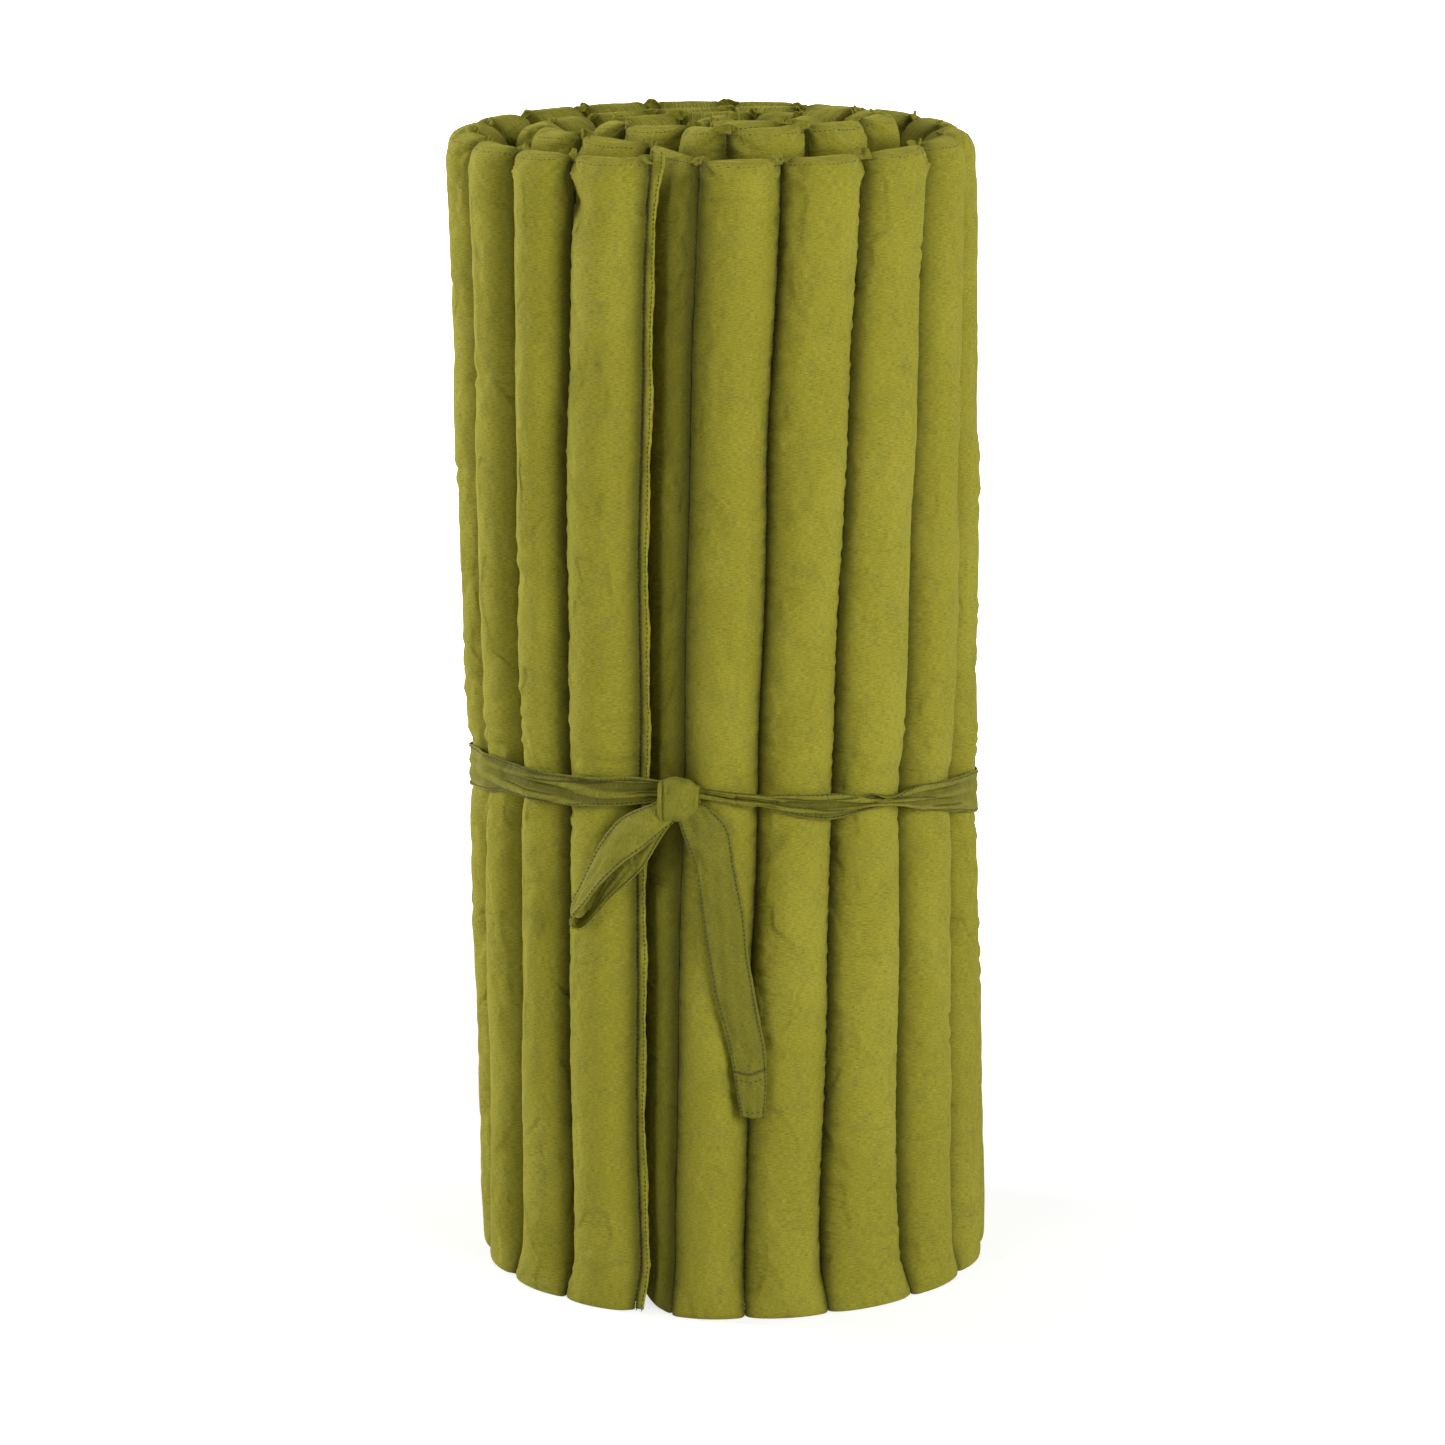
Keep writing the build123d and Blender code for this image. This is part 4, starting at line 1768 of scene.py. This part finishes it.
@dataclass
class Knot:
    """The half knot: the turn of cloth that closes it, and the gathered tie inside it."""

    roll: Roll
    finish: bpy.types.Material
    azimuth: float = -9.2
    radius: float = 171.5 * MM
    height: float = 349.5 * MM
    half_width: float = 12 * MM
    half_depth: float = 8.5 * MM
    around_count: int = 96
    across_count: int = 42
    # the wrap's upper and lower edges in mm, from its left end (-1) to its right end (1)
    top: tuple[tuple[float, float], ...] = ((-1, 12.5), (-0.3, 14.5), (0.4, 13.0), (1, 8.5))
    bottom: tuple[tuple[float, float], ...] = ((-1, -13.5), (0.2, -13.0), (0.6, -9.5), (1, -5.0))
    # the wrap's creases: how far right at its middle in mm, slant, bend and depth
    wrap_creases: tuple[tuple[float, float, float, float], ...] = (
        (-9.8, 0.0, 0.0, 1.0),
        (0.5, 0.25, -0.01, 0.35),
    )

    def place(self, local: Array) -> Array:
        """Move points from the knot's frame (right, outwards, up) to the roll's."""
        turn = math.radians(self.azimuth)
        right = np.array([math.cos(turn), math.sin(turn), 0])
        out = np.array([math.sin(turn), -math.cos(turn), 0])
        middle = around(self.azimuth, self.radius, self.height)
        return middle + local[..., :1] * right + local[..., 1:2] * out + local[..., 2:] * [0, 0, 1]

    def ring(self, scale: float, bumps: float, seed: int) -> Array:
        """Points round and along a bundle of cloth.

        Args:
            scale: The size of its section, against the knot's.
            bumps: How deep its folds are.
            seed: Which folds.

        Returns:
            The points in the knot's frame, by column along the bundle and row round it.
        """
        rng = np.random.default_rng(seed)
        along = np.linspace(-1, 1, self.across_count)[:, None]
        turn = np.linspace(-math.pi, math.pi, self.around_count, endpoint=False)[None, :]
        cos, sin = np.cos(turn), np.sin(turn)
        power = 2 / 2.8
        top, bottom = (eased(along, stations) * MM for stations in (self.top, self.bottom))
        half, centre = (top - bottom) / 2, (top + bottom) / 2
        depth = self.half_depth * (1 - 0.28 * smooth((along + 0.2) / 1.2))
        out = depth * np.sign(cos) * np.abs(cos) ** power * scale
        up = half * np.sign(sin) * np.abs(sin) ** power * scale
        folds = np.zeros_like(out)
        for _ in range(7):
            count, lean, phase = rng.integers(2, 7), rng.normal(0, 2.0), rng.uniform(0, 6.28)
            folds += np.sin(count * turn + lean * along + phase) / count
        reach = 1 + bumps * folds
        right = self.half_width * along * np.ones_like(out)
        return np.stack([right, out * reach, centre + up * reach], axis=-1)

    def creases(self, local: Array) -> Array:
        """How deep in one of the wrap's creases each of its points is, from 0 to 1."""
        right, out, up = np.moveaxis(local, -1, 0)
        deep = np.zeros(right.shape)
        for start, slant, bend, share in self.wrap_creases:
            course = start * MM + slant * up + bend * up**2 / MM
            deep = np.maximum(deep, share * hump(right - course, 1.1 * MM))
        return deep * (out > 0)

    def build(self) -> None:
        """Make the knot's wrap and its bundle."""
        wrap = self.ring(1.0, 0.06, 3)
        wrap[..., 1] -= 1.0 * MM * self.creases(wrap)
        lips = [
            (wrap[0] - wrap[0].mean(0)) * share + wrap[0].mean(0) + [shift * MM, 0, 0]
            for share, shift in ((0.9, 0.6), (0.96, -0.2))
        ]
        tips = [
            (wrap[-1] - wrap[-1].mean(0)) * share + wrap[-1].mean(0) + [shift * MM, 0, 0]
            for share, shift in ((0.96, 0.2), (0.9, -0.6))
        ]
        grid = np.stack([*lips, *wrap, *tips])
        bundle = self.ring(0.82, 0.12, 8) * [1.02, 1, 1]
        ends = [np.repeat(bundle[side].mean(0)[None], self.around_count, 0) for side in (0, -1)]
        bundle = np.stack([ends[0], *bundle, ends[1]])
        for name, points in (("knot_wrap", grid), ("knot_bundle", bundle)):
            rows, columns = points.shape[:2]
            numbers = np.arange(rows * columns).reshape(rows, columns)
            faces = grid_faces(numbers, closed=True)
            place = np.stack(np.meshgrid(np.arange(columns), np.arange(rows)), axis=-1)
            cloth = place.reshape(-1, 2)[faces] * [1.0 * MM, 1.0 * MM]
            piece = cloth_mesh(name, self.place(points.reshape(-1, 3)), faces, cloth)
            if name == "knot_wrap":
                # Painted shade in the wrap's creases.
                mark(piece, "seam", 0.8 * self.creases(points).ravel())
                thickened(piece, 0.8 * MM)
            dressed(piece, self.finish, Slot.TIE, "tie_knot")
            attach(piece, "channel_01")
            LOG.info("%s rides on channel_01", name)


@dataclass
class Ribbon:
    """A free end of the tie, lofted through a few stations across it."""

    name: str
    body: str
    node: str
    finish: bpy.types.Material
    stations: Sequence[Any]  # by station: the points across it, as (azimuth, radius, height)
    width: float
    length: float
    held: Held
    rests_on: tuple[str, ...]
    sewing: Stitching
    hinge: Array
    cross_rows: tuple[int, ...] = ()
    painted_shade_share: float = 0.0  # painted shade: how much of the seam shade colour the whole ribbon has
    thickness: float = 0.9 * MM
    rows: int = 120
    columns: int = 17
    ripple: float = 0.35 * MM
    bend: float = 16 * MM  # how far beyond the hinge the cloth still bends
    stitch_seed: int = 950
    grid: Array = field(init=False)

    def __post_init__(self) -> None:
        """Loft the cloth."""
        stations = np.asarray(self.stations, float)
        points = around(stations[..., 0], stations[..., 1] * MM, stations[..., 2] * MM)
        lofted = spline(points, self.rows)
        self.grid = spline(lofted.transpose(1, 0, 2), self.columns).transpose(1, 0, 2)

    def stitch(self, piece: bpy.types.Object) -> None:
        """Sew the ribbon's edges, on both of its faces."""
        points = read_points(piece).reshape(self.grid.shape)
        normals = read_normals(piece).reshape(self.grid.shape)
        rows = []
        for lift in (0.2 * MM, -self.thickness - 0.2 * MM):
            lifted = points + lift * normals
            rows += [lifted[:, 1], lifted[:, -2]]
            rows += [lifted[row, 1:-1] for row in self.cross_rows]
        self.follow(self.sewing.lay(f"{self.name}_stitches", rows, self.stitch_seed, Slot.TIE))

    def follow(self, piece: bpy.types.Object) -> None:
        """Bake a piece's transform into its mesh; the direction along the ribbon worked out here is not
        used.
        """
        along = self.grid.mean(axis=1)
        along -= along[0]
        along = along[np.linalg.norm(along, axis=1).argmax()]
        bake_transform(piece)

    def build(self) -> bpy.types.Object:
        """Make the ribbon's mesh.

        Returns:
            The piece, with its transform baked; it rides on no body.
        """
        piece = sheet_mesh(self.name, self.grid)
        normals = read_normals(piece)
        across, along = np.meshgrid(np.linspace(0, 1, self.columns), np.linspace(0, 1, self.rows))
        wave = np.sin(2 * math.pi * (3 * across + 2.5 * along)) + np.sin(
            2 * math.pi * (1.5 * across - 7 * along)
        )
        rng = np.random.default_rng(60)
        edge = rng.normal(0, 0.5, (self.rows, 2))
        wave[:, [0, -1]] += edge
        wave[:, [1, -2]] -= 1.0 + 0.5 * edge
        write_points(piece, read_points(piece) + normals * (self.ripple * wave).reshape(-1, 1))
        self.stitch(piece)
        # Painted shade: the whole ribbon takes its share of the seam shade colour, the columns beside
        # its stitched edges 0.55 and its first cross row's fold 0.8.
        sewn = np.full(self.grid.shape[:2], self.painted_shade_share)
        sewn[:, [1, -2]] = 0.55
        sewn[list(self.cross_rows[:1])] = 0.8
        mark(piece, "seam", sewn.ravel())
        subdivided(piece)
        thickened(piece, self.thickness)
        dressed(piece, self.finish, Slot.TIE, self.node)
        self.follow(piece)
        LOG.info("%s rides on %s", self.name, self.body)
        return piece


def bow_loop(
    finish: bpy.types.Material, sewing: Stitching, radius: float, hinge: Array
) -> Ribbon:
    """Set out the half bow's loop: down from the knot, round its tip and back.

    Args:
        finish: The tie's material.
        sewing: The stitches along its edges.
        radius: Where the roll's surface is, in millimetres.
        hinge: A point on its hinge.

    Returns:
        The loop, ready to build.
    """
    near, far = radius + 2, radius + 4
    stations = [
        [(-9.8, near - 1, 349), (-9.6, near, 343), (-9.4, near - 1, 337)],
        [(-12.6, near + 1, 349), (-12.4, near + 3, 341), (-12.0, near + 1, 332)],
        [(-17.5, near + 2, 343), (-16.3, far + 6, 333), (-15.2, far + 2, 322)],
        [(-22.7, near, 333), (-21.6, far + 5, 321), (-20.2, far + 6, 309)],
        [(-26.8, near, 316), (-25.2, far + 5, 307), (-23.3, far + 10, 299)],
        [(-31.2, near, 291), (-29.4, far + 5, 286), (-27.2, far + 12, 283)],
        [(-34.0, near, 273), (-32.6, far + 4, 269), (-31.0, far + 13, 268)],
        [(-33.2, near - 1, 265), (-32.2, near + 4, 262), (-30.6, far + 11, 262)],
        [(-30.0, near - 1, 272), (-29.4, near + 3, 267), (-29.0, far + 7, 265)],
        [(-25.5, near - 1, 296), (-24.6, near + 1, 289), (-23.4, near + 4, 285)],
        [(-19.5, near - 1, 321), (-18.2, near + 1, 312), (-17.0, near + 3, 305)],
        [(-14.0, near, 338), (-13.4, near + 2, 331), (-12.9, near + 2, 326)],
        [(-10.4, near, 346), (-10.2, near + 1, 342), (-10.0, near + 1, 338)],
    ]
    return Ribbon(
        name="bow_loop",
        body="tie_loop",
        node="tie_loop",
        finish=finish,
        stations=stations,
        width=27 * MM,
        length=190 * MM,
        held=Held.FOLDED,
        rests_on=("casing_01",),
        sewing=sewing,
        hinge=hinge,
    )


def bow_tail(
    finish: bpy.types.Material, sewing: Stitching, radius: float, hinge: Array
) -> Ribbon:
    """Set out the half bow's tail, which comes out under the knot and hangs down.

    Args:
        finish: The tie's material.
        sewing: The stitches along its edges.
        radius: Where the roll's surface is, in millimetres.
        hinge: A point on its hinge.

    Returns:
        The tail, ready to build.
    """
    near = radius + 2
    stations = [
        [(-9.6, near - 1, 344), (-7.4, near + 1, 347), (-5.2, near, 348)],
        [(-9.1, near + 1, 335), (-5.6, near + 3, 341), (-1.4, near + 4, 343)],
        [(-7.2, near + 2, 320), (-3.2, near + 5, 324), (1.6, near + 2, 330)],
        [(-5.5, near + 2, 300), (-1.4, near + 3, 302), (2.8, near + 1, 305)],
        [(-4.5, near + 1, 275), (-0.2, near + 2, 277), (4.3, near + 1, 281)],
        [(-3.0, near + 1, 245), (1.2, near + 2, 247), (5.4, near + 1, 250)],
        [(-1.4, near + 1, 217), (2.8, near + 2, 218), (7.0, near + 1, 220)],
        [(1.2, near + 1, 188), (4.8, near + 2, 188), (8.8, near + 1, 189)],
        [(2.6, near + 1, 166), (5.9, near + 3, 164), (9.3, near + 1, 167)],
        [(4.0, near, 140), (6.6, near + 1, 139), (9.0, near, 139)],
    ]
    return Ribbon(
        name="bow_tail",
        body="tie_tail",
        node="tie_tail",
        finish=finish,
        stations=stations,
        width=27 * MM,
        length=210 * MM,
        held=Held.HUNG,
        rests_on=("casing_18",),
        sewing=sewing,
        hinge=hinge,
        cross_rows=(103, 106, 117),
        # painted shade over the whole tail
        painted_shade_share=0.35,
    )


# --- The studio --------------------------------------------------------------------------------


@dataclass
class Studio:
    """A plain pale floor, soft plain light and the camera."""

    distance: float = 3.56
    camera_height: float = 1.19
    tilt: float = 13.11
    lens: float = 136.4
    floor_size: float = 40.0
    lamp_distance: float = 3.1
    top_lamp_distance: float = 0.4

    def camera(self) -> None:
        """Set up the camera."""
        camera = bpy.data.cameras.new("camera")
        camera.lens, camera.sensor_width = self.lens, 36.0
        holder = bpy.data.objects.new("camera", camera)
        holder.location = (0, -self.distance, self.camera_height)
        holder.rotation_euler = (math.radians(90 - self.tilt), 0, 0)
        bpy.context.scene.collection.objects.link(holder)
        bpy.context.scene.camera = holder

    def seen(self, tree: bpy.types.NodeTree) -> bpy.types.NodeSocket:
        """Whether a ray shows the background: straight, mirrored or through glass."""
        path = add_node(tree, "ShaderNodeLightPath").outputs
        either = add_node(
            tree,
            "ShaderNodeMath",
            {0: path["Is Camera Ray"], 1: path["Is Glossy Ray"]},
            operation="MAXIMUM",
        )
        every = add_node(
            tree,
            "ShaderNodeMath",
            {0: either.outputs[0], 1: path["Is Transmission Ray"]},
            operation="MAXIMUM",
        )
        return every.outputs[0]

    def floor(self) -> None:
        """Lay the floor: near white, with a light of its own that leaves the shadow on it."""
        material = bpy.data.materials.new("paper_sweep")
        material.use_nodes = True
        tree = material.node_tree
        tree.nodes.clear()
        matt = add_node(tree, "ShaderNodeBsdfDiffuse", {"Color": linear("#d8d8d8")})
        glow = add_node(tree, "ShaderNodeEmission", {"Strength": 2.84})
        place = add_node(tree, "ShaderNodeTexCoord").outputs["Object"]
        away = add_node(tree, "ShaderNodeVectorMath", {0: place}, operation="LENGTH").outputs["Value"]
        own = add_node(
            tree,
            "ShaderNodeMapRange",
            {"Value": away, "From Min": 0.3, "From Max": 1.6, "To Min": 0.25, "To Max": 1.0},
            interpolation_type="SMOOTHSTEP",
        )
        share = add_node(
            tree, "ShaderNodeMath", {0: self.seen(tree), 1: own.outputs[0]}, operation="MULTIPLY"
        )
        mix = add_node(
            tree, "ShaderNodeMixShader", {0: share.outputs[0], 1: matt.outputs[0], 2: glow.outputs[0]}
        )
        add_node(tree, "ShaderNodeOutputMaterial", {"Surface": mix.outputs[0]})
        half = self.floor_size / 2
        corners = [(-half, -half, 0), (half, -half, 0), (half, half, 0), (-half, half, 0)]
        mesh = bpy.data.meshes.new("floor")
        mesh.from_pydata(corners, [], [(0, 1, 2, 3)])
        mesh.materials.append(material)
        floor = bpy.data.objects.new("floor", mesh)
        bpy.context.scene.collection.objects.link(floor)

    def world(self) -> None:
        """Surround the object with an even white light."""
        world = bpy.data.worlds.new("studio")
        world.use_nodes = True
        tree = world.node_tree
        tree.nodes.clear()
        soft = add_node(tree, "ShaderNodeBackground", {"Color": linear("#ffffff"), "Strength": 0.05})
        white = add_node(tree, "ShaderNodeBackground", {"Color": linear("#ffffff"), "Strength": 1.0})
        mix = add_node(
            tree, "ShaderNodeMixShader", {0: self.seen(tree), 1: soft.outputs[0], 2: white.outputs[0]}
        )
        add_node(tree, "ShaderNodeOutputWorld", {"Surface": mix.outputs[0]})
        bpy.context.scene.world = world

    def lamp(self, name: str, azimuth: float, height: float, size: float, power: float) -> None:
        """Hang a soft square lamp that faces the roll.

        Args:
            name: The lamp's name.
            azimuth: Where round the roll it hangs, in degrees.
            height: How high it hangs.
            size: Its side.
            power: Its power in watts.
        """
        light = bpy.data.lights.new(name, "AREA")
        light.size, light.energy = size, power
        holder = bpy.data.objects.new(name, light)
        distance = self.top_lamp_distance if height > 2 else self.lamp_distance
        holder.location = around(azimuth, distance, height)
        aim = Vector((0, 0, 0.4)) - holder.location
        holder.rotation_euler = aim.to_track_quat("-Z", "Y").to_euler()
        bpy.context.scene.collection.objects.link(holder)

    def light(self) -> None:
        """Hang the lamps: two on each side, and a weaker one above."""
        self.lamp("left_lamp", -108, 1.2, 1.2, 80)
        self.lamp("left_front_lamp", -35, 1.3, 1.2, 19)
        self.lamp("right_lamp", 37, 1.3, 1.5, 65)
        self.lamp("right_back_lamp", 106, 1.2, 1.2, 21)
        self.lamp("top_lamp", 160, 3.0, 1.6, 17)

    def build(self) -> None:
        """Set up the whole studio."""
        self.camera()
        self.floor()
        self.world()
        self.light()
        bpy.context.scene.view_settings.view_transform = "Standard"


def main() -> None:
    """Build the scene round the CAD frame."""
    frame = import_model()
    Studio().build()
    casing_cloth, tie_cloth = CASING_COTTON.material(), TIE_COTTON.material()
    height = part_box("channel_01")[1].z
    roll = Roll(frame["joints"], height)
    pouch = Pouch(float(roll.widths[0]), height)
    sewing = Stitching(SEAM_THREAD.material())
    mat = Mat(roll, casing_cloth, pouch, sewing)
    mat.build()
    TieBand(roll, mat, tie_cloth, sewing).build(mat.casings)
    Knot(roll, tie_cloth).build()
    hinges = {joint["child"]: np.array(joint["pos_m"]) for joint in frame["joints"]}
    bow_loop(tie_cloth, sewing, BOW_RADIUS_MM, hinges["tie_loop"]).build()
    bow_tail(tie_cloth, sewing, BOW_RADIUS_MM, hinges["tie_tail"]).build()


if __name__ == "__main__":
    logging.basicConfig(level=logging.INFO, format="%(name)s: %(message)s")
    main()
